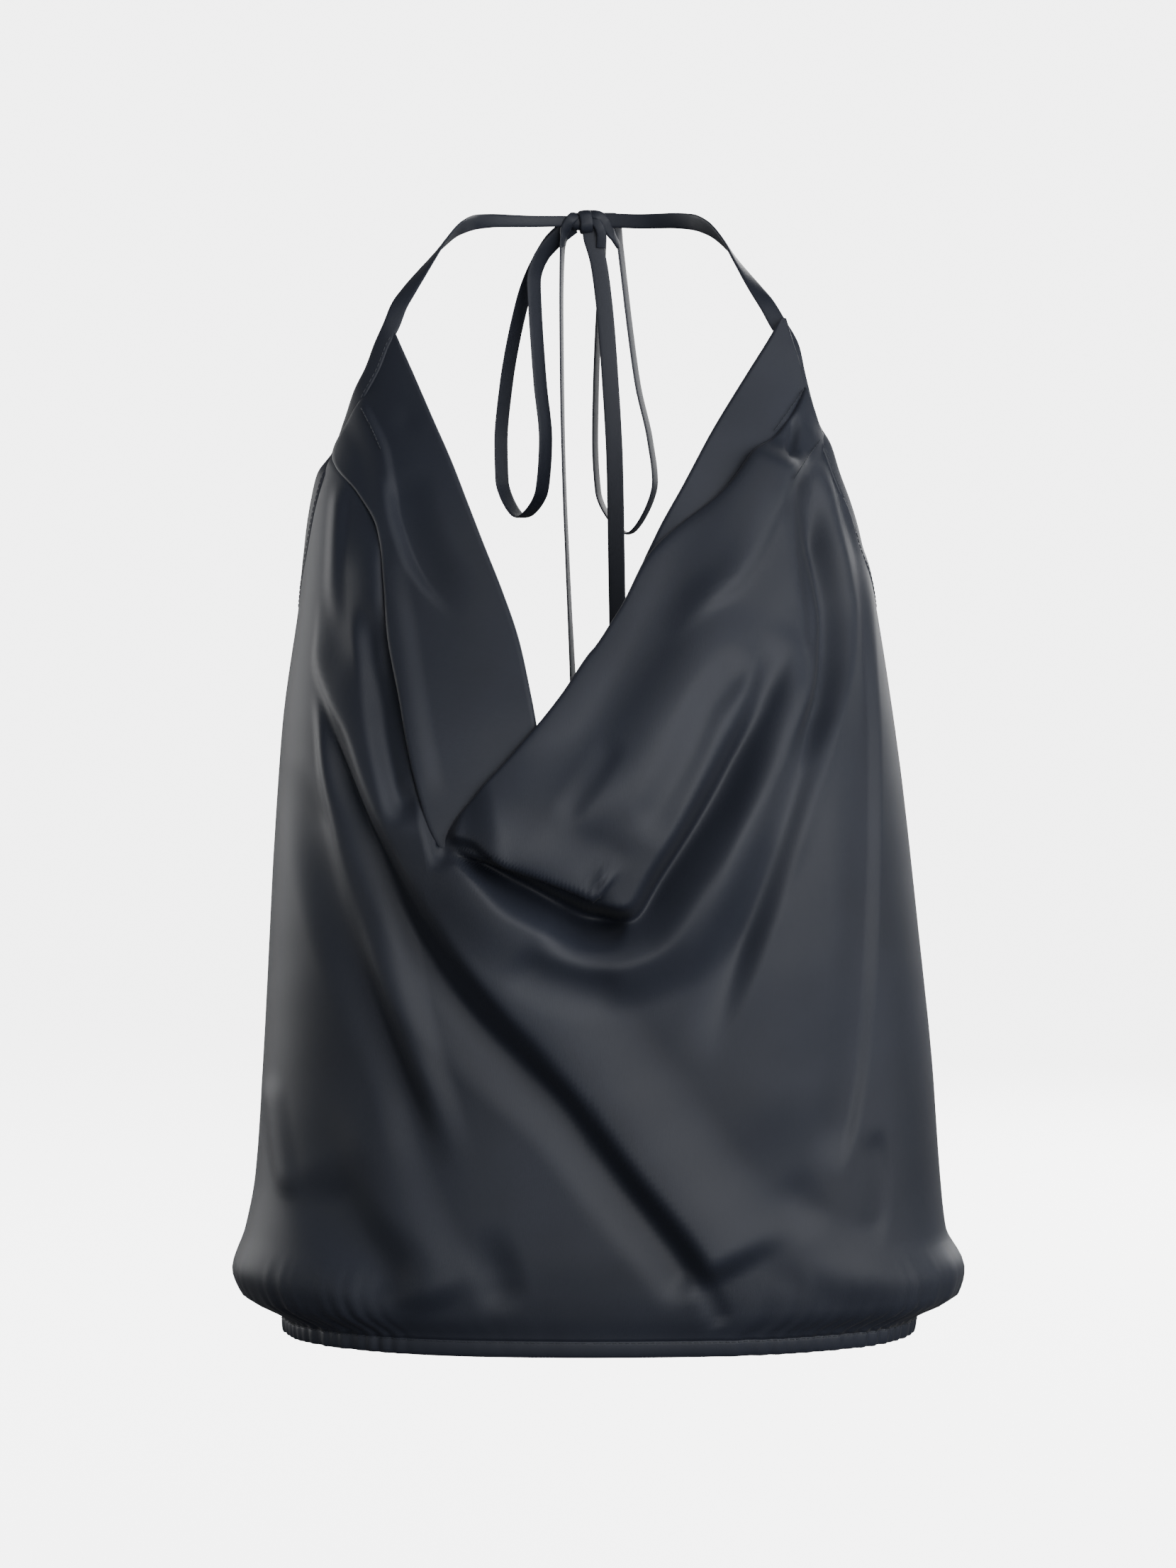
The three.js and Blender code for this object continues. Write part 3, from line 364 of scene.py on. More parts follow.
# The two cloths meet at each side seam, where both turn in a little, and no fold runs over it.
SEAM_DEPTH = 1.3
SEAM_REACH = 0.014
FREE_OF_SEAM = 0.16


def cloth_point(angle, z, lift=0.0):
    """Points of the dressed cloth in millimetres."""
    point = form_point(angle, z)
    front = np.cos(angle) >= 0
    folds = np.where(front, fold_rise(FRONT_FOLDS, point[..., 0], z), fold_rise(BACK_FOLDS, point[..., 0], z))
    from_seam = smooth(0, FREE_OF_SEAM, np.abs(np.cos(angle)))
    seam = SEAM_DEPTH * smooth(SEAM_REACH, 0, np.abs(np.cos(angle)))
    rise = (folds + small_waves(point[..., 0], z)) * from_seam + gather_rise(angle, z) + lift - seam
    dressed = point + form_normal(angle, z) * rise[..., None]
    for lip, (over_x, over_z) in LIPS:
        slip = np.where(front, fold_rise([lip], point[..., 0], z), 0)
        dressed = dressed + slip[..., None] * np.array([over_x, 0, over_z])
    return dressed


print(GATHER_COUNT, "gathers")

# %% [markdown]
# ## Dark satin
#
# Satin floats its warp threads over several wefts, so it is smooth one way and throws a long soft
# light. The finish is a nearly black navy with a medium roughness, a slight anisotropy across the
# thread and a fine bump of threads that follows the cloth's own UV map. Colour varies a little, as
# dyed cloth does. The binding is the same cloth cut on the bias, so its threads run at a slant.

# %% satin and thread
SATIN_NAVY = (0.0135, 0.0160, 0.0245, 1)
SATIN_LIGHTER = (0.0175, 0.0208, 0.0315, 1)


def satin(name, slant):
    material = bpy.data.materials.new(name)
    material.use_nodes = True
    nodes, links = material.node_tree.nodes, material.node_tree.links
    shader = nodes["Principled BSDF"]
    shader.inputs["Roughness"].default_value = 0.56
    shader.inputs["Anisotropic"].default_value = 0.3
    shader.inputs["Specular IOR Level"].default_value = 0.3
    shader.inputs["Sheen Weight"].default_value = 0.04
    shader.inputs["Sheen Roughness"].default_value = 0.4
    uv = nodes.new("ShaderNodeUVMap")
    uv.uv_map = "cloth"
    turn = nodes.new("ShaderNodeMapping")
    turn.inputs["Rotation"].default_value[2] = math.radians(slant)
    turn.inputs["Scale"].default_value = (1, 0.08, 1)
    links.new(uv.outputs["UV"], turn.inputs["Vector"])
    threads = nodes.new("ShaderNodeTexNoise")
    threads.inputs["Scale"].default_value = 2600
    threads.inputs["Detail"].default_value = 2
    links.new(turn.outputs["Vector"], threads.inputs["Vector"])
    bump = nodes.new("ShaderNodeBump")
    bump.inputs["Strength"].default_value = 0.16
    bump.inputs["Distance"].default_value = 0.0002
    links.new(threads.outputs["Fac"], bump.inputs["Height"])
    links.new(bump.outputs["Normal"], shader.inputs["Normal"])
    place = nodes.new("ShaderNodeTexCoord")
    dye = nodes.new("ShaderNodeTexNoise")
    dye.inputs["Scale"].default_value = 14
    dye.inputs["Detail"].default_value = 3
    links.new(place.outputs["Object"], dye.inputs["Vector"])
    ramp = nodes.new("ShaderNodeValToRGB")
    ramp.color_ramp.elements[0].color = SATIN_NAVY
    ramp.color_ramp.elements[1].color = SATIN_LIGHTER
    ramp.color_ramp.elements[0].position = 0.35
    ramp.color_ramp.elements[1].position = 0.75
    links.new(dye.outputs["Fac"], ramp.inputs["Fac"])
    links.new(ramp.outputs["Color"], shader.inputs["Base Color"])
    return material


panel_satin = satin("panel_satin", 45)
binding_satin = satin("binding_satin", 20)
print("made", panel_satin.name, "and", binding_satin.name)

# %% [markdown]
# ## A sheet of cloth from a flat grid
#
# Cloth starts flat, so each panel starts as a flat grid. Every vertex of the grid is then laid on
# the form by its place across and down. The flat grid also gives the UV map, so the threads follow
# the cloth round every fold. A Solidify modifier gives it a wall as thin as satin with a lining
# layer turned in at the edges.

# %% lay a grid on a surface
CLOTH_WALL = 0.6 * MM


def laid_cloth(name, columns, rows, surface, size, wall=CLOTH_WALL, closed=False, spread=None):
    """surface(u, v) gives points in millimetres for arrays from 0 to 1; size is the flat size in metres.

    spread(u, v) may crowd the grid's lines where the cloth turns sharply.
    """
    work = bmesh.new()
    uv_layer = work.loops.layers.uv.new("cloth")
    bmesh.ops.create_grid(work, x_segments=columns, y_segments=rows, size=0.5)
    work.verts.index_update()
    flat = np.array([vertex.co for vertex in work.verts])
    u, v = flat[:, 0] + 0.5, 0.5 - flat[:, 1]
    if spread:
        u, v = spread(u, v)
    for face in work.faces:
        for loop in face.loops:
            i = loop.vert.index
            loop[uv_layer].uv = (u[i] * size[0], v[i] * size[1])
    points = surface(u, v) * MM
    for vertex, point in zip(work.verts, points):
        vertex.co = point
    if closed:
        bmesh.ops.remove_doubles(work, verts=work.verts, dist=0.02 * MM)
    for face in work.faces:
        face.smooth = True
    mesh = bpy.data.meshes.new(name)
    work.to_mesh(mesh)
    work.free()
    piece = bpy.data.objects.new(name, mesh)
    bpy.context.collection.objects.link(piece)
    if wall:
        solid = piece.modifiers.new("wall", "SOLIDIFY")
        solid.thickness = wall
        solid.offset = 0
        solid.use_even_offset = True
    return piece


def flat_size(surface, columns=60, rows=60):
    """How wide and how long the laid cloth is along its own threads, in metres."""
    u, v = np.meshgrid(np.linspace(0, 1, columns), np.linspace(0, 1, rows))
    points = surface(u.ravel(), v.ravel()).reshape(rows, columns, 3) * MM
    across = np.linalg.norm(np.diff(points, axis=1), axis=-1)
    down = np.linalg.norm(np.diff(points, axis=0), axis=-1)
    area = (across[:-1] * down[:, :-1]).sum()
    return across.sum(1).max(), down.sum(0).max(), area


# %% [markdown]
# ## The body of the front
#
# The lower cowl sheet is the rest of the front, down to the hem. Its top edge starts beneath the
# flap at the left, turns at the bottom of the flap and climbs to the right shoulder. There it is a
# fold and not a cut edge: the cloth rolls over and goes down behind. So the first rows of the grid
# run up the inside and over a small round, and only then down the front.

# %% the front's edges
ARMHOLE = [(-50, 92, 87), (-58, 95.5, 91), (-70, 99.8, 94.5), (-82, 105.3, 97.6), (-95, 113.5, 102.3),
           (-109, 122, 107.5), (-137, 132.2, 122.4), (-165, 138.5, 131.4), (UNDERARM, 143, 138)]
COWL_TOP = [(-123, -112), (-112, -127), (-101, -143), (-94, -170), (-90, -205), (-83, -240), (-77, -275),
            (-72, -303), (-65, -292), (-53, -278), (-39, -262), (-15, -233), (11, -196), (27, -167),
            (44, -151), (61, -139), (81, -115), (97, -86)]
MEAN_TOP = -190
LEVELLING = 1.6
UNDER_BINDING = 2.6
UNDER_RIGHT_SHOULDER = 5.2


def edge_angle(hand, z, beyond=0.0):
    column = 1 if hand < 0 else 2
    row_z = np.array([row[0] for row in ARMHOLE], float)
    row_angles = front_angle(hand * np.array([row[column] for row in ARMHOLE], float), row_z) * hand
    at = np.maximum(z, UNDERARM)
    armhole = through(row_z, row_angles, at) * hand
    pace = np.linalg.norm(form_point(armhole + 0.01, at) - form_point(armhole - 0.01, at), axis=-1) / 0.02
    armhole = np.clip(armhole + hand * beyond / pace, -SIDE_SEAM, SIDE_SEAM)
    return np.where(z <= UNDERARM, hand * SIDE_SEAM, armhole)


def body_edges(z):
    """The angles of the left and the right edge of the cloth, which goes in under the binding."""
    at = np.minimum(z, -60)
    return (edge_angle(-1, at, UNDER_BINDING),
            edge_angle(1, at, UNDER_BINDING + UNDER_RIGHT_SHOULDER * smooth(-118, -106, at)))


cowl_x, cowl_z = np.array(COWL_TOP, float).T
cowl_left, cowl_right = body_edges(cowl_z)
cowl_u = (front_angle(cowl_x, cowl_z) - cowl_left) / (cowl_right - cowl_left)
cowl_u[0], cowl_u[-1] = 0, 1

# %% the surface of the front body
ROLL_SHARE = 0.08
ROLL_RADIUS = 2.2
TURN_UNDER = 14
RIGHT_SHOULDER_LIFT = 0.6


def front_body_surface(u, v):
    top = through(cowl_u, cowl_z, u)
    on_front = np.clip((v - ROLL_SHARE) / (1 - ROLL_SHARE), 0, 1)
    z = MEAN_TOP + (PANEL_BOTTOM - MEAN_TOP) * on_front + (top - MEAN_TOP) * (1 - on_front) ** LEVELLING
    rolled = smooth(0.33, 0.42, u)
    back = np.clip((ROLL_SHARE - v) / ROLL_SHARE, 0, 1) * TURN_UNDER
    turn = np.clip(back / ROLL_RADIUS, 0, np.pi)
    beyond = np.clip(back - np.pi * ROLL_RADIUS, 0, None)
    lift = -ROLL_RADIUS * (1 - np.cos(turn)) * rolled
    z = z + (ROLL_RADIUS * np.sin(turn) - beyond) * rolled
    left, right = body_edges(z)
    lift = lift + RIGHT_SHOULDER_LIFT * smooth(-118, -106, z) * smooth(0.86, 0.95, u)
    return cloth_point(left + (right - left) * u, z, lift)


def crowd_at_pocket(u, v):
    return (through([0, 0.22, 0.62, 1], [0, 0.26, 0.57, 1], u),
            through([0, 0.08, 0.30, 0.62, 1], [0, 0.08, 0.33, 0.50, 1], v))


front_body = laid_cloth("front_body_cloth", 264, 176, front_body_surface, (0.46, 0.44),
                        spread=crowd_at_pocket)
front_body.data.materials.append(panel_satin)
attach(front_body, "root")
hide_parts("front_body")
print("front body", len(front_body.data.polygons), "faces")


# %% [markdown]
# ## The upper fold, from shoulder to shoulder
#
# The neckline is the fold of a second layer. At the left it lies in front and ends in a long flap
# edge; at the right it passes behind the lower cowl. Two short stitched tucks under each shoulder
# take up its spare cloth. Both of its long edges are folds, so both roll over a small round.

# %% rows of the upper fold
NeckRow = namedtuple("NeckRow", "nx nz ox oz nl ol")
NECK_FOLD = [
    NeckRow(-96.4, -57.6, -98.2, -57.2, 0, 0),
    NeckRow(-93.6, -64, -100.6, -63, 0, 0),
    NeckRow(-88, -76, -105, -75, 0, 0),
    NeckRow(-78, -98, -116.6, -96, 0, 0.2),
    NeckRow(-68, -120, -127, -117.5, 0, 0.3),
    NeckRow(-60, -140, -113, -136, 0, 1.2),
    NeckRow(-52, -160, -103, -153, 0, 2.0),
    NeckRow(-43, -182, -99, -178, 0, 2.6),
    NeckRow(-35, -205, -97, -203, 0, 2.8),
    NeckRow(-29, -232, -91, -232, -1, 3.2),
    NeckRow(-25, -252, -84.5, -264, -3.5, 4),
    NeckRow(-19, -264, -76.5, -293, -5.5, 4.6),
    NeckRow(-12, -271, -69, -306, -7, 2.4),
    NeckRow(-4, -273, -58, -310, -7, -4),
    NeckRow(4, -268, -24, -302, -7, -7),
    NeckRow(9, -255, 4, -292, -7, -7),
    NeckRow(12, -235, 30, -268, -7, -7),
    NeckRow(16, -205, 52, -235, -6, -7),
    NeckRow(21, -176, 66, -203, -4, -6.5),
    NeckRow(31, -153, 75, -173, -3, -6),
    NeckRow(44, -130, 83, -143, -2, -5),
    NeckRow(59, -103, 94.5, -113.5, -1, -4.6),
    NeckRow(75.5, -77, 106, -89.5, -0.5, -2.2),
    NeckRow(86.5, -60, 98.6, -64, 0.2, 0.4),
    NeckRow(92.2, -50.4, 94.2, -50.8, 0.4, 0.4),
]
UPPER_FOLDS = [
    Fold("tuck_roll", 1.6, 4, 13, 1, 8, 36,
         [(-114, -90), (-107, -103), (-101, -116), (-98.5, -130), (-97, -144), (-93, -156), (-88, -169),
          (-80, -182), (-68, -191)]),
    Fold("tuck_valley", -2.6, 20, 7, 1, 14, 34,
         [(-96, -124), (-92, -146), (-84, -168), (-72, -184), (-60, -194)]),
    Fold("neck_hollow", -0.6, 11, 11, 1, 12, 12, [(-100, -97), (-90, -100), (-80, -104)]),
    Fold("flap_roll", 1.6, 10, 12, 1, 18, 18,
         [(-99, -160), (-93, -194), (-88, -224), (-82, -258), (-76, -284)]),
]

# %% surface of the upper fold
NECK_ROLL = 1.5
ROLL_PART = 0.13
neck_at = np.arange(len(NECK_FOLD))


def rolled_edge(past, radius):
    """How far in from an edge, and how deep, after going past its start; it turns over and comes back."""
    turn = np.clip(past / radius, 0, np.pi)
    beyond = np.clip(past - np.pi * radius, 0, None)
    return radius * (1 - np.sin(turn)) + beyond, radius * (np.cos(turn) - 1)


def neck_surface(u, v):
    t = u * neck_at[-1]
    nx, nz, ox, oz, nl, ol = (through(neck_at, [row[k] for row in NECK_FOLD], t) for k in range(6))
    width = np.hypot(ox - nx, oz - nz)
    radius = np.minimum(NECK_ROLL, 0.16 * width)
    reach = np.minimum(9, 0.42 * width)
    inner_run, inner_deep = rolled_edge(np.clip((ROLL_PART - v) / ROLL_PART, 0, 1) * reach, radius)
    outer_run, outer_deep = rolled_edge(np.clip((v - 1 + ROLL_PART) / ROLL_PART, 0, 1) * reach, radius)
    middle = radius + (width - 2 * radius) * (v - ROLL_PART) / (1 - 2 * ROLL_PART)
    run = np.where(v < ROLL_PART, inner_run, np.where(v > 1 - ROLL_PART, width - outer_run, middle))
    share = run / width
    x, z = nx + (ox - nx) * share, nz + (oz - nz) * share
    angle = front_angle(x, z)
    lift = nl + (ol - nl) * share**2 + fold_rise(UPPER_FOLDS, x, z) + 0.6 * small_waves(x, z)
    lift = lift + np.where(v < ROLL_PART, inner_deep, 0) + np.where(v > 1 - ROLL_PART, outer_deep, 0)
    return form_point(angle, z) + form_normal(angle, z) * lift[..., None]


front_neck_fold = laid_cloth("front_neck_fold_cloth", 420, 70, neck_surface, (0.62, 0.07))
front_neck_fold.data.materials.append(panel_satin)
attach(front_neck_fold, "root")
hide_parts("front_neck_fold")
print("upper fold", len(front_neck_fold.data.polygons), "faces")

# %% [markdown]
# ## The back
#
# The back hangs from a scooped edge that runs from one underarm, low across the back, to the other.

# %% back panel
BACK_TOP = [(0, -390), (0.35, -382), (0.7, -350), (1.05, -298), (1.35, -238), (SIDE_SEAM, UNDERARM)]


def back_top(turn):
    return through([row[0] for row in BACK_TOP], [row[1] for row in BACK_TOP], np.abs(turn))


def back_surface(u, v):
    turn = (2 * u - 1) * SIDE_SEAM
    top = back_top(turn) + UNDER_BINDING + 2.5 * smooth(0.4, 1.3, np.abs(turn))
    return cloth_point(np.pi + turn, top + (PANEL_BOTTOM - top) * v)


back_panel = laid_cloth("back_panel_cloth", 200, 110, back_surface, (0.42, 0.33))
back_panel.data.materials.append(panel_satin)
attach(back_panel, "root")
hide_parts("back_panel")
print("back", len(back_panel.data.polygons), "faces")

# %% [markdown]
# ## The elastic casing
#
# The hem is turned up into a narrow tunnel with elastic in it. It is puffed between its stitched
# top and its folded bottom edge, and the gathers run straight through it.

# %% casing
CASING_MIDDLE = (CASING_TOP + HEM_BOTTOM) / 2
CASING_HALF = (CASING_TOP - HEM_BOTTOM) / 2 - 0.1
CASING_PUFF = 1.0


def casing_surface(u, v):
    a = 2 * np.pi * v
    z = CASING_MIDDLE + CASING_HALF * np.sign(np.sin(a)) * np.abs(np.sin(a)) ** 0.8
    lift = CASING_PUFF * np.cos(a)
    return cloth_point(2 * np.pi * u, z, lift)


casing = laid_cloth("hem_casing_cloth", 900, 14, casing_surface, (1.0, 0.02), wall=0, closed=True)
casing.data.materials.append(panel_satin)
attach(casing, "root")
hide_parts("hem_casing")
print("casing", len(casing.data.polygons), "faces")

# %% [markdown]
# ## Bindings and ties
#
# A long bias strip closes the armhole edge and runs on as the neck tie, so the edge and the tie are
# one piece. It is a flat rounded tube. Each row below gives the middle of the strip and the way its
# width points.

# %% a flat strip through rows
BINDING_WIDTH = 8.5
SEAM_GAP = 1.25
Row = namedtuple("Row", "x y z wx wy wz")


def strip_frames(rows, t):
    at = np.arange(len(rows))
    columns = [through(at, [row[k] for row in rows], t) for k in range(6)]
    return np.stack(columns[:3], -1), np.stack(columns[3:], -1)


def strip_surface(rows, width, thick, narrow=0.0):
    """narrow is the share of its width that the strip loses over its last six rows, as it bunches up."""
    last = len(rows) - 1

    def surface(u, v):
        t = v * last
        middle, side = strip_frames(rows, t)
        ahead = (strip_frames(rows, np.minimum(t + 0.02, last))[0]
                 - strip_frames(rows, np.maximum(t - 0.02, 0))[0])
        ahead = ahead / np.linalg.norm(ahead, axis=-1, keepdims=True)
        side = side - ahead * (side * ahead).sum(-1, keepdims=True)
        side = side / np.linalg.norm(side, axis=-1, keepdims=True)
        face = np.cross(ahead, side)
        a = 2 * np.pi * u
        half = width / 2 * (1 - narrow * smooth(last - 6, last - 1, t))
        w = half * np.sign(np.cos(a)) * np.abs(np.cos(a)) ** 0.55
        h = thick / 2 * np.sign(np.sin(a)) * np.abs(np.sin(a)) ** 0.8
        return middle + side * w[..., None] + face * h[..., None]

    return surface


def strip_length(rows, samples=400):
    middle = strip_frames(rows, np.linspace(0, len(rows) - 1, samples))[0]
    return np.linalg.norm(np.diff(middle, axis=0), axis=-1).sum() * MM


def close_ends(piece):
    work = bmesh.new()
    work.from_mesh(piece.data)
    bmesh.ops.holes_fill(work, edges=[edge for edge in work.edges if edge.is_boundary], sides=0)
    bmesh.ops.recalc_face_normals(work, faces=work.faces)
    work.to_mesh(piece.data)
    work.free()


def tie(name, rows, samples, thick, narrow=0.0, width=BINDING_WIDTH):
    length = strip_length(rows)
    piece = laid_cloth(name, 16, samples, strip_surface(rows, width, thick, narrow),
                       (2 * width * MM, length), wall=0, closed=True)
    close_ends(piece)
    piece.data.materials.append(binding_satin)
    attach(piece, "root")
    return piece, length


# %% rows of the bindings
STRAP_LEFT = [
    Row(-98.2, -89, -54, -0.75, 0.3, 0.5),
    Row(-94.6, -83.2, -44.5, -0.75, 0.4, 0.4),
    Row(-89.6, -74, -36, -0.7, 0.55, 0.2),
    Row(-80.8, -60, -23, -0.5, 0.7, -0.15),
    Row(-73, -49, -12.5, -0.3, 0.75, -0.5),
    Row(-65, -37, -4.5, -0.15, 0.55, -0.8),
    Row(-57, -22, -1, 0, 0.1, -1),
    Row(-46, -10, 0, 0, 0, -1),
    Row(-31, -1.5, 0, 0, 0, -1),
    Row(-14.6, 2.2, 0.2, 0, 0, -1),
    Row(-8, 3.2, -0.6, 0, 0, -1),
]
STRAP_RIGHT = [
    Row(90.6, -84.5, -53, 0.75, 0.3, 0.5),
    Row(85.6, -80, -44, 0.75, 0.4, 0.4),
    Row(79.6, -72, -35, 0.65, 0.6, 0.15),
    Row(71.5, -58, -22.5, 0.45, 0.75, -0.25),
    Row(65, -47, -12.5, 0.25, 0.75, -0.55),
    Row(57, -36, -4.5, 0.1, 0.5, -0.85),
    Row(49, -22, -1, 0, 0.1, -1),
    Row(38, -10, 0, 0, 0, -1),
    Row(25, -1.5, 0, 0, 0, -1),
    Row(9.4, 2.4, 0.6, 0, 0, -1),
    Row(3, 3.2, 0.4, 0, 0, -1),
]
SHOULDER_Z = -64
ARMHOLE_PLACES = [1.01, 0.94, 0.87, 0.79, 0.7, 0.6, 0.5, 0.4, 0.3, 0.2, 0.1, 0]
BACK_HALF = 16
BEHIND_SHOULDER = 2.2


def edge_place(hand, s):
    s = np.atleast_1d(np.asarray(s, float))
    z = SHOULDER_Z + (UNDERARM - SHOULDER_Z) * np.minimum(s, 1)
    turn = SIDE_SEAM * (2 - np.maximum(s, 1))
    angle = np.where(s <= 1, edge_angle(hand, z), hand * (np.pi - turn))
    return angle, np.where(s <= 1, z, back_top(turn))


def binding_rows(hand, places):
    """The strip carries the cloth's edge on by its own width, along the form."""
    places = np.asarray(places, float)
    angle, z = edge_place(hand, places)
    ahead = (cloth_point(*edge_place(hand, places + 0.02))
             - cloth_point(*edge_place(hand, np.maximum(places - 0.02, 0))))
    ahead = ahead / np.linalg.norm(ahead, axis=-1, keepdims=True)
    side = np.cross(ahead, form_normal(angle, z)) * -hand
    side = side / np.linalg.norm(side, axis=-1, keepdims=True)
    behind = BEHIND_SHOULDER * smooth(-118, -104, z) if hand > 0 else 0 * z
    middle = (cloth_point(angle, z) + side * (BINDING_WIDTH / 2 + SEAM_GAP)
              - form_normal(angle, z) * behind[..., None])
    return [Row(*m, *w) for m, w in zip(middle, side)]


left_rows = binding_rows(-1, ARMHOLE_PLACES) + STRAP_LEFT
right_rows = binding_rows(1, ARMHOLE_PLACES) + STRAP_RIGHT
half_places = np.maximum(1.0008, 1 + np.arange(BACK_HALF + 1) / BACK_HALF)
back_rows = binding_rows(-1, half_places) + binding_rows(1, half_places[:-1])[::-1]

# %% ties and back binding
TIE_THICK = 1.7
halter_tie_left, left_length = tie("halter_tie_left_binding", left_rows, 260, TIE_THICK, 0.35)
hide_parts("halter_tie_left")
halter_tie_right, right_length = tie("halter_tie_right_binding", right_rows, 260, TIE_THICK, 0.15)
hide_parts("halter_tie_right")
back_binding, back_length = tie("back_edge_binding_cloth", back_rows, 300, TIE_THICK)
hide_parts("back_edge_binding")
print("ties", round(left_length, 3), round(right_length, 3), "back edge", round(back_length, 3))

# %% [markdown]
# ## The bow at the nape
#
# Each tie comes round the neck to the knot. From there a loop and a tail hang straight down. The
# strips are limp, so a loop is long and narrow and turns over only at its lowest point.

# %% rows of the loops and tails
LOOP_LEFT = [
    Row(-8, 8.2, 0.5, 0.5, 0.2, -0.8),
    Row(-13.5, 9.4, -3.2, 0.6, 0.3, -0.7),
    Row(-20, 11.8, -8.8, 0.66, 0.4, -0.6),
    Row(-27, 16, -19.5, 0.74, 0.5, -0.4),
    Row(-33, 21.5, -32, 0.79, 0.6, -0.15),
    Row(-38, 27, -50, 0.8, 0.6, 0),
    Row(-43.6, 34, -80, 0.8, 0.6, 0),
    Row(-46.5, 38, -110, 0.8, 0.6, 0),
    Row(-46, 38, -130, 0.8, 0.6, 0),
    Row(-36, 25, -148.4, 0.8, 0.6, 0),
    Row(-25.5, 11, -135, 0.8, 0.6, 0),
    Row(-23.6, 8, -109, 0.8, 0.6, 0),
    Row(-26.4, 10, -80, 0.8, 0.6, 0),
    Row(-28.8, 11, -45, 0.8, 0.6, 0),
    Row(-29.4, 10.5, -30, 0.8, 0.55, -0.1),
    Row(-26.6, 9.6, -19, 0.76, 0.5, -0.4),
    Row(-21, 8.4, -11.5, 0.68, 0.4, -0.6),
    Row(-15.5, 7, -6.4, 0.62, 0.3, -0.7),
    Row(-10, 5.6, -2, 0.55, 0.2, -0.8),
]
LOOP_RIGHT = [
    Row(5, 5.4, 0.4, 0, 0, 1),
    Row(10.2, 6.2, 0.4, 0, 0, 1),
    Row(11.3, 6.4, 0.2, 0.05, 0.05, 1),
    Row(13, 9, -4.5, 0.3, 0.6, 0.75),
    Row(14.2, 11, -13, 0.34, 0.94, 0.2),
    Row(16.2, 12, -30, 0.34, 0.94, 0),
    Row(19.2, 11.5, -55, 0.34, 0.94, 0),
    Row(23, 10.5, -82, 0.34, 0.94, 0),
    Row(29, 9, -109, 0.34, 0.94, 0),
    Row(31.6, 8, -131, 0.34, 0.94, 0),
    Row(18, 12.5, -156.7, 0.34, 0.94, 0),
    Row(3, 18, -136, 0.34, 0.94, 0),
    Row(1.4, 18.5, -109, 0.34, 0.94, 0),
    Row(1.9, 18, -80, 0.34, 0.94, 0),
    Row(3.4, 16.5, -45, 0.34, 0.94, 0),
    Row(5, 13, -20, 0.34, 0.94, 0),
    Row(5.6, 7.6, -8, 0.3, 0.95, 0),
    Row(5.6, 7.4, -6.3, 0.3, 0.95, 0),
    Row(5, 6.4, -1.5, 0.3, 0.95, 0),
]
TAIL_LEFT = [
    Row(-10, 4.2, -1, 0.7, 0.4, -0.5),
    Row(-13.2, 4.6, -6, 0.5, 0.8, -0.2),
    Row(-15, 5.6, -13, 0.3, 0.95, 0),
    Row(-15.6, 6.4, -40, 0.2, 0.98, 0),
    Row(-15.3, 6, -80, 0.2, 0.98, 0),
    Row(-14.4, 5, -123, 0.18, 0.98, 0),
    Row(-12.1, 5, -181, 0.22, 0.98, 0),
    Row(-9.5, 6, -240, 0.35, 0.94, 0),
    Row(-7, 7, -334, 0.6, 0.8, 0),
]
TAIL_RIGHT = [
    Row(-1.2, 3, -1, 1, 0, 0),
    Row(-0.5, 2.3, -7.4, 1, 0, 0),
    Row(3, 2.4, -20, 1, 0, 0),
    Row(6.4, 2.2, -46, 1, 0.05, 0),
    Row(9, 1.5, -80, 1, 0.1, 0),
    Row(11.3, 1, -123, 1, 0.1, 0),
    Row(12.3, 1, -181, 1, 0.05, 0),
    Row(13.4, 2, -240, 1, -0.1, 0),
    Row(14.4, 3, -305, 1, -0.15, 0),
]

# %% loops and tails
LOOP_THICK = 1.1


def free_cord(name, rows, samples, node):
    piece, length = tie(name, rows, samples, LOOP_THICK)
    path = strip_frames(rows, np.linspace(0, len(rows) - 1, 40))[0] * MM
    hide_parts(node)
    print(name, round(length, 3))


free_cord("bow_loop_left_tie", LOOP_LEFT, 220, "bow_loop_left")
free_cord("bow_loop_right_tie", LOOP_RIGHT, 220, "bow_loop_right")
free_cord("bow_tail_left_tie", TAIL_LEFT, 160, "bow_tail_left")
free_cord("bow_tail_right_tie", TAIL_RIGHT, 160, "bow_tail_right")

# %% [markdown]
# ## The knot
#
# A bow's knot is one tie wrapped over the other. Here a small bundle is the core, one band goes
# round it, and three more cross over it: to the left tail, to the right loop and to the right tail.

# %% core of the knot
KNOT_AT = np.array([-2.6, 4.6, 0.2])
KNOT_HALF = (10.4, 3.9, 4.6)


def knot_surface(u, v):
    a = 2 * np.pi * u
    t = np.clip(2 * v - 1, -0.96, 0.96)
    end = np.sqrt(1 - t**4)
    band = 1 - 0.1 * (0.5 + 0.5 * np.cos(6 * np.pi * (v + 0.10 * np.sin(a + 0.6)))) ** 2
    x = KNOT_HALF[0] * t
    y = KNOT_HALF[1] * np.sign(np.cos(a)) * np.abs(np.cos(a)) ** 0.8 * end * band
    z = KNOT_HALF[2] * np.sign(np.sin(a)) * np.abs(np.sin(a)) ** 0.8 * end * band
    return KNOT_AT + np.stack([x, y, z], -1)


knot = laid_cloth("bow_knot_core", 64, 60, knot_surface, (0.035, 0.024), wall=0, closed=True)
close_ends(knot)
knot.data.materials.append(binding_satin)
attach(knot, "root")
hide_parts("bow_knot")

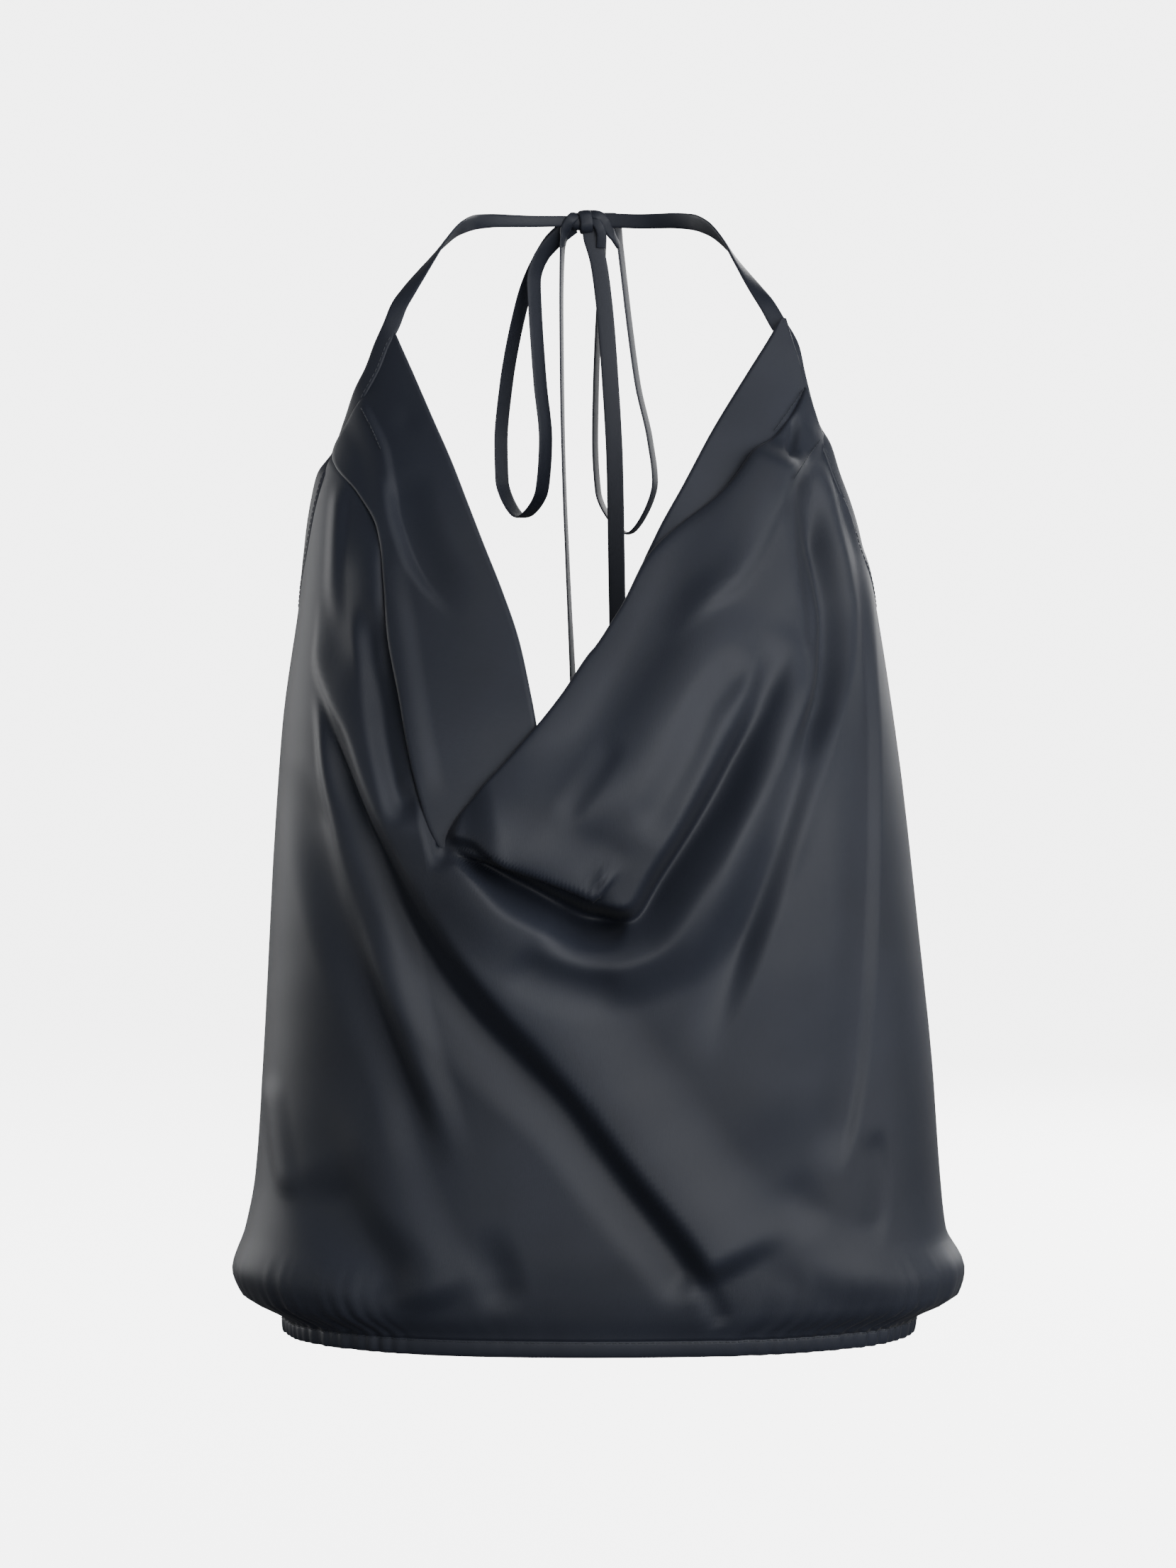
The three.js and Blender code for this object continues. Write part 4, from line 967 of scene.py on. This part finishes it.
# %% bands of the knot
Wrap = namedtuple("Wrap", "name width thick rows")
WRAPS = [
    Wrap("bow_wrap_centre", 6.4, 1.9, [
        Row(-3.8, 8.4, -0.5, 1, 0, 0.1), Row(-4.2, 7, 3.8, 1, 0, 0.1), Row(-4, 3.2, 4.9, 1, 0, 0.1),
        Row(-3.4, 0.2, 2.8, 1, 0, 0.15), Row(-2.8, -0.4, -1, 1, 0, 0.2), Row(-2.8, 1.4, -4.6, 1, 0, 0.1),
        Row(-3, 5, -5.4, 1, 0, 0), Row(-3.4, 8, -3.6, 1, 0, 0)]),
    Wrap("bow_wrap_left", 5.4, 2.2, [
        Row(-5, 8, 1.5, 0.9, -0.3, 0), Row(-6.5, 5.5, 3.5, 0.85, -0.5, 0), Row(-8.6, 2.6, 3, 0.8, -0.3, -0.4),
        Row(-11.2, 1.0, 0.6, 0.75, 0, -0.65), Row(-13.2, 1.9, -3, 0.7, 0.35, -0.5),
        Row(-14.3, 4, -7.2, 0.4, 0.85, -0.1), Row(-15, 5.6, -12, 0.3, 0.95, 0)]),
    Wrap("bow_wrap_right", 5.2, 2.0, [
        Row(-4.5, 5, 3.2, 0, 0.8, 0.6), Row(-1, 2.2, 3.8, 0, 0.75, 0.65), Row(3, 0.6, 3, 0.3, 0.4, 0.85),
        Row(6, 0.7, 0.4, 0.7, 0.15, 0.7), Row(8.2, 2, -4, 0.8, 0.4, 0.35),
        Row(10.6, 4.8, -7.6, 0.45, 0.85, 0.1), Row(13, 8.6, -11.5, 0.34, 0.94, 0)]),
    Wrap("bow_wrap_tail", 4.8, 1.8, [
        Row(-2, 2.4, 1.6, 0.3, 0.3, 0.9), Row(1, 0.2, 0.4, 0.55, 0, 0.8), Row(3.6, -0.4, -3, 0.85, 0, 0.5),
        Row(4.6, 0.4, -7.5, 0.95, 0.1, 0.1), Row(4.2, 1.8, -13, 1, 0.05, 0)]),
]
for wrap in WRAPS:
    band, band_length = tie(wrap.name, wrap.rows, 60, wrap.thick, width=wrap.width)
    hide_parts("bow_knot")
print("knot of", len(WRAPS), "bands over a core")

# %% [markdown]
# ## Stitches
#
# The casing is closed by one row of machine stitches, and the binding by another close to its inner
# edge. Each stitch is a tiny rounded bar.

# %% thread
thread = bpy.data.materials.new("thread")
thread.use_nodes = True
thread_nodes, thread_links = thread.node_tree.nodes, thread.node_tree.links
thread_shader = thread_nodes["Principled BSDF"]
thread_shader.inputs["Roughness"].default_value = 0.6
thread_place = thread_nodes.new("ShaderNodeTexCoord")
thread_twist = thread_nodes.new("ShaderNodeTexNoise")
thread_twist.inputs["Scale"].default_value = 900
thread_links.new(thread_place.outputs["Object"], thread_twist.inputs["Vector"])
thread_ramp = thread_nodes.new("ShaderNodeValToRGB")
thread_ramp.color_ramp.elements[0].color = (0.008, 0.010, 0.015, 1)
thread_ramp.color_ramp.elements[1].color = (0.022, 0.027, 0.038, 1)
thread_links.new(thread_twist.outputs["Fac"], thread_ramp.inputs["Fac"])
thread_links.new(thread_ramp.outputs["Color"], thread_shader.inputs["Base Color"])

# %% a row of stitches along a line
STITCH_LONG = 2.1
STITCH_THICK = 0.42


def stitches(name, points, normals, pitch=3.0):
    """points in millimetres along a seam; a stitch every pitch."""
    steps = np.linalg.norm(np.diff(points, axis=0), axis=-1)
    run = np.concatenate([[0], np.cumsum(steps)])
    places = np.arange(pitch / 2, run[-1] - pitch / 2, pitch)
    at = np.stack([np.interp(places, run, points[:, k]) for k in range(3)], -1)
    ahead = np.stack([np.interp(places + 0.5, run, points[:, k]) for k in range(3)], -1) - at
    out = np.stack([np.interp(places, run, normals[:, k]) for k in range(3)], -1)
    work = bmesh.new()
    work.loops.layers.uv.new("cloth")
    bmesh.ops.create_cube(work, size=1)
    bmesh.ops.scale(work, vec=(STITCH_LONG, STITCH_THICK, STITCH_THICK), verts=work.verts)
    bmesh.ops.bevel(work, geom=list(work.edges), offset=STITCH_THICK * 0.3, offset_type="OFFSET",
                    segments=1, profile=0.5, affect="EDGES", material=-1)
    first = list(work.verts) + list(work.edges) + list(work.faces)
    for place, way, up in zip(at, ahead, out):
        copy = bmesh.ops.duplicate(work, geom=first)
        verts = [item for item in copy["geom"] if isinstance(item, bmesh.types.BMVert)]
        x_axis = Vector(way).normalized()
        z_axis = Vector(up)
        z_axis = (z_axis - x_axis * z_axis.dot(x_axis)).normalized()
        turn = Matrix((x_axis, z_axis.cross(x_axis), z_axis)).transposed().to_4x4()
        bmesh.ops.transform(work, matrix=Matrix.Translation(place) @ turn, verts=verts)
    bmesh.ops.delete(work, geom=[item for item in first if isinstance(item, bmesh.types.BMVert)],
                     context="VERTS")
    bmesh.ops.scale(work, vec=(MM, MM, MM), verts=work.verts)
    mesh = bpy.data.meshes.new(name)
    work.to_mesh(mesh)
    work.free()
    mesh.materials.append(thread)
    piece = bpy.data.objects.new(name, mesh)
    bpy.context.collection.objects.link(piece)
    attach(piece, "root")
    print(name, len(places), "stitches")


# %% stitch rows
round_angle = np.linspace(0, 2 * np.pi, 1800)
round_z = np.full_like(round_angle, CASING_TOP - 1.0)
stitches("casing_stitches", cloth_point(round_angle, round_z, CASING_PUFF * 0.75),
         form_normal(round_angle, round_z))


def binding_stitches(name, rows, low, high):
    t = np.linspace(low, high, 600)
    middle, side = strip_frames(rows, t)
    ahead = np.gradient(middle, axis=0)
    side = side / np.linalg.norm(side, axis=-1, keepdims=True)
    out = np.cross(ahead, side)
    out = out / np.linalg.norm(out, axis=-1, keepdims=True)
    inward = np.array([0, -95, 0]) - middle
    out = out * np.sign(-(out * inward).sum(-1, keepdims=True))
    stitches(name, middle - side * (BINDING_WIDTH / 2 - 1.6) + out * (TIE_THICK / 2 - 0.05), out, 2.9)


binding_stitches("armhole_stitches_left", left_rows, 0, 13)
binding_stitches("armhole_stitches_right", right_rows, 0, 13)
binding_stitches("back_edge_stitches", back_rows, 0, len(back_rows) - 1)

# %% stitched tucks
TUCKS = {
    "left_upper": (front_neck_fold, [(-112.5, -94), (-107, -104), (-101.5, -116)]),
    "left_lower": (front_body, [(-122.5, -118), (-115, -127), (-108, -138)]),
    "right_upper": (front_neck_fold, [(103, -85), (96, -94.5), (88, -105.5)]),
    "right_lower": (front_body, [(110.5, -110), (103, -119.5), (95.5, -130.5)]),
}


def lies_on(piece, x, z):
    """The frontmost y of a piece near each place of a line, in millimetres."""
    places = np.array([vertex.co for vertex in piece.data.vertices]) / MM
    found = []
    for at_x, at_z in zip(x, z):
        near = places[np.hypot(places[:, 0] - at_x, places[:, 2] - at_z) < 2.2]
        found.append(near[:, 1].min() if len(near) else np.nan)
    found = np.array(found)
    good = ~np.isnan(found)
    run = np.arange(len(found))
    return np.polyval(np.polyfit(run[good], found[good], 3), run)


for tuck, (piece, line) in TUCKS.items():
    path = spline(line, 20)
    y = lies_on(piece, path[:, 0], path[:, 1])
    points = np.stack([path[:, 0], y - 0.35, path[:, 1]], -1)
    normals = form_normal(front_angle(path[:, 0], path[:, 1]), path[:, 1])
    stitches("tuck_stitches_" + tuck, points, normals, 2.6)

# %% [markdown]
# ## What the cloth measures
#
# The flat size of each panel is worked out as a cutter would lay it out: its greatest width and length
# along the cloth, with the true area. The values are not kept.

def declare_sheet(surface):
    width, length, area = flat_size(surface)


declare_sheet(front_body_surface)
declare_sheet(neck_surface)
declare_sheet(back_surface)

# %% [markdown]
# ## Studio
#
# The set is a round white cove: a floor that curves up into a wall all round, with nothing between it
# and the top, so that the top can be looked at from any side. It glows evenly, as white paper under
# its own lamps does, and is left out of the reflections, so the satin takes its light from the soft
# lamps alone: a big one at the front right, a low one straight ahead, weaker ones above and at each
# side, and two behind.

# %% cove
FLOOR_Z = -0.75
FLOOR_RADIUS = 4.4
COVE_RADIUS = 3.0
WALL_TOP = 8.0

work = bmesh.new()
profile = [work.verts.new((0.02, 0, FLOOR_Z)), work.verts.new((FLOOR_RADIUS, 0, FLOOR_Z))]
for step in range(1, 9):
    a = math.radians(90 * step / 8)
    profile.append(work.verts.new((FLOOR_RADIUS + COVE_RADIUS * math.sin(a), 0,
                                   FLOOR_Z + COVE_RADIUS * (1 - math.cos(a)))))
profile.append(work.verts.new((FLOOR_RADIUS + COVE_RADIUS, 0, WALL_TOP)))
edges = [work.edges.new(pair) for pair in zip(profile[:-1], profile[1:])]
bmesh.ops.spin(work, geom=profile + edges, cent=(0, 0, 0), axis=(0, 0, 1), dvec=(0, 0, 0),
               angle=2 * math.pi, steps=96, use_merge=True, use_duplicate=False)
bmesh.ops.holes_fill(work, edges=[edge for edge in work.edges
                                  if edge.is_boundary and edge.verts[0].co.z < FLOOR_Z + 0.01], sides=0)
bmesh.ops.recalc_face_normals(work, faces=work.faces)
for face in work.faces:
    face.smooth = True
cove_mesh = bpy.data.meshes.new("cove")
work.to_mesh(cove_mesh)
work.free()
cove = bpy.data.objects.new("cove", cove_mesh)
bpy.context.collection.objects.link(cove)
paper = bpy.data.materials.new("paper")
paper.use_nodes = True
paper_shader = paper.node_tree.nodes["Principled BSDF"]
paper_shader.inputs["Base Color"].default_value = (0.86, 0.86, 0.87, 1)
paper_shader.inputs["Roughness"].default_value = 0.9
paper_shader.inputs["Emission Color"].default_value = (1, 1, 1, 1)
paper_shader.inputs["Emission Strength"].default_value = 5
cove_mesh.materials.append(paper)
cove.visible_glossy = False
cove.visible_diffuse = False
cove.visible_shadow = False
print("cove", len(cove_mesh.polygons), "faces")


# %% lamps
def area_lamp(name, at, target, size, power):
    data = bpy.data.lights.new(name, "AREA")
    data.shape = "RECTANGLE"
    data.size, data.size_y = size
    data.energy = power
    lamp = bpy.data.objects.new(name, data)
    lamp.location = at
    lamp.rotation_euler = (Vector(target) - Vector(at)).to_track_quat("-Z", "Y").to_euler()
    lamp.visible_camera = False
    bpy.context.collection.objects.link(lamp)


MIDDLE = (0, -0.1, -0.3)
area_lamp("key", (1.3, -2.2, 0.5), MIDDLE, (1.8, 1.8), 64)
area_lamp("top_light", (0.3, -1.4, 1.9), MIDDLE, (1.5, 1.1), 13)
area_lamp("front_fill", (0.1, -3.3, -0.35), MIDDLE, (1.8, 1.8), 26)
area_lamp("side_light", (2.3, -0.6, 0.1), MIDDLE, (1.2, 1.6), 26)
area_lamp("low_left_fill", (-2.3, -1.5, -0.6), MIDDLE, (1.2, 1.2), 7)
area_lamp("back_fill", (1.2, 2.4, 0.7), MIDDLE, (1.8, 1.8), 84)
area_lamp("rear_left_fill", (-2.2, 1.3, 0.1), MIDDLE, (1.4, 1.4), 40)

world = bpy.data.worlds.new("studio")
bpy.context.scene.world = world
world.use_nodes = True
world.node_tree.nodes["Background"].inputs["Color"].default_value = (0.95, 0.97, 1.0, 1)
world.node_tree.nodes["Background"].inputs["Strength"].default_value = 0.05
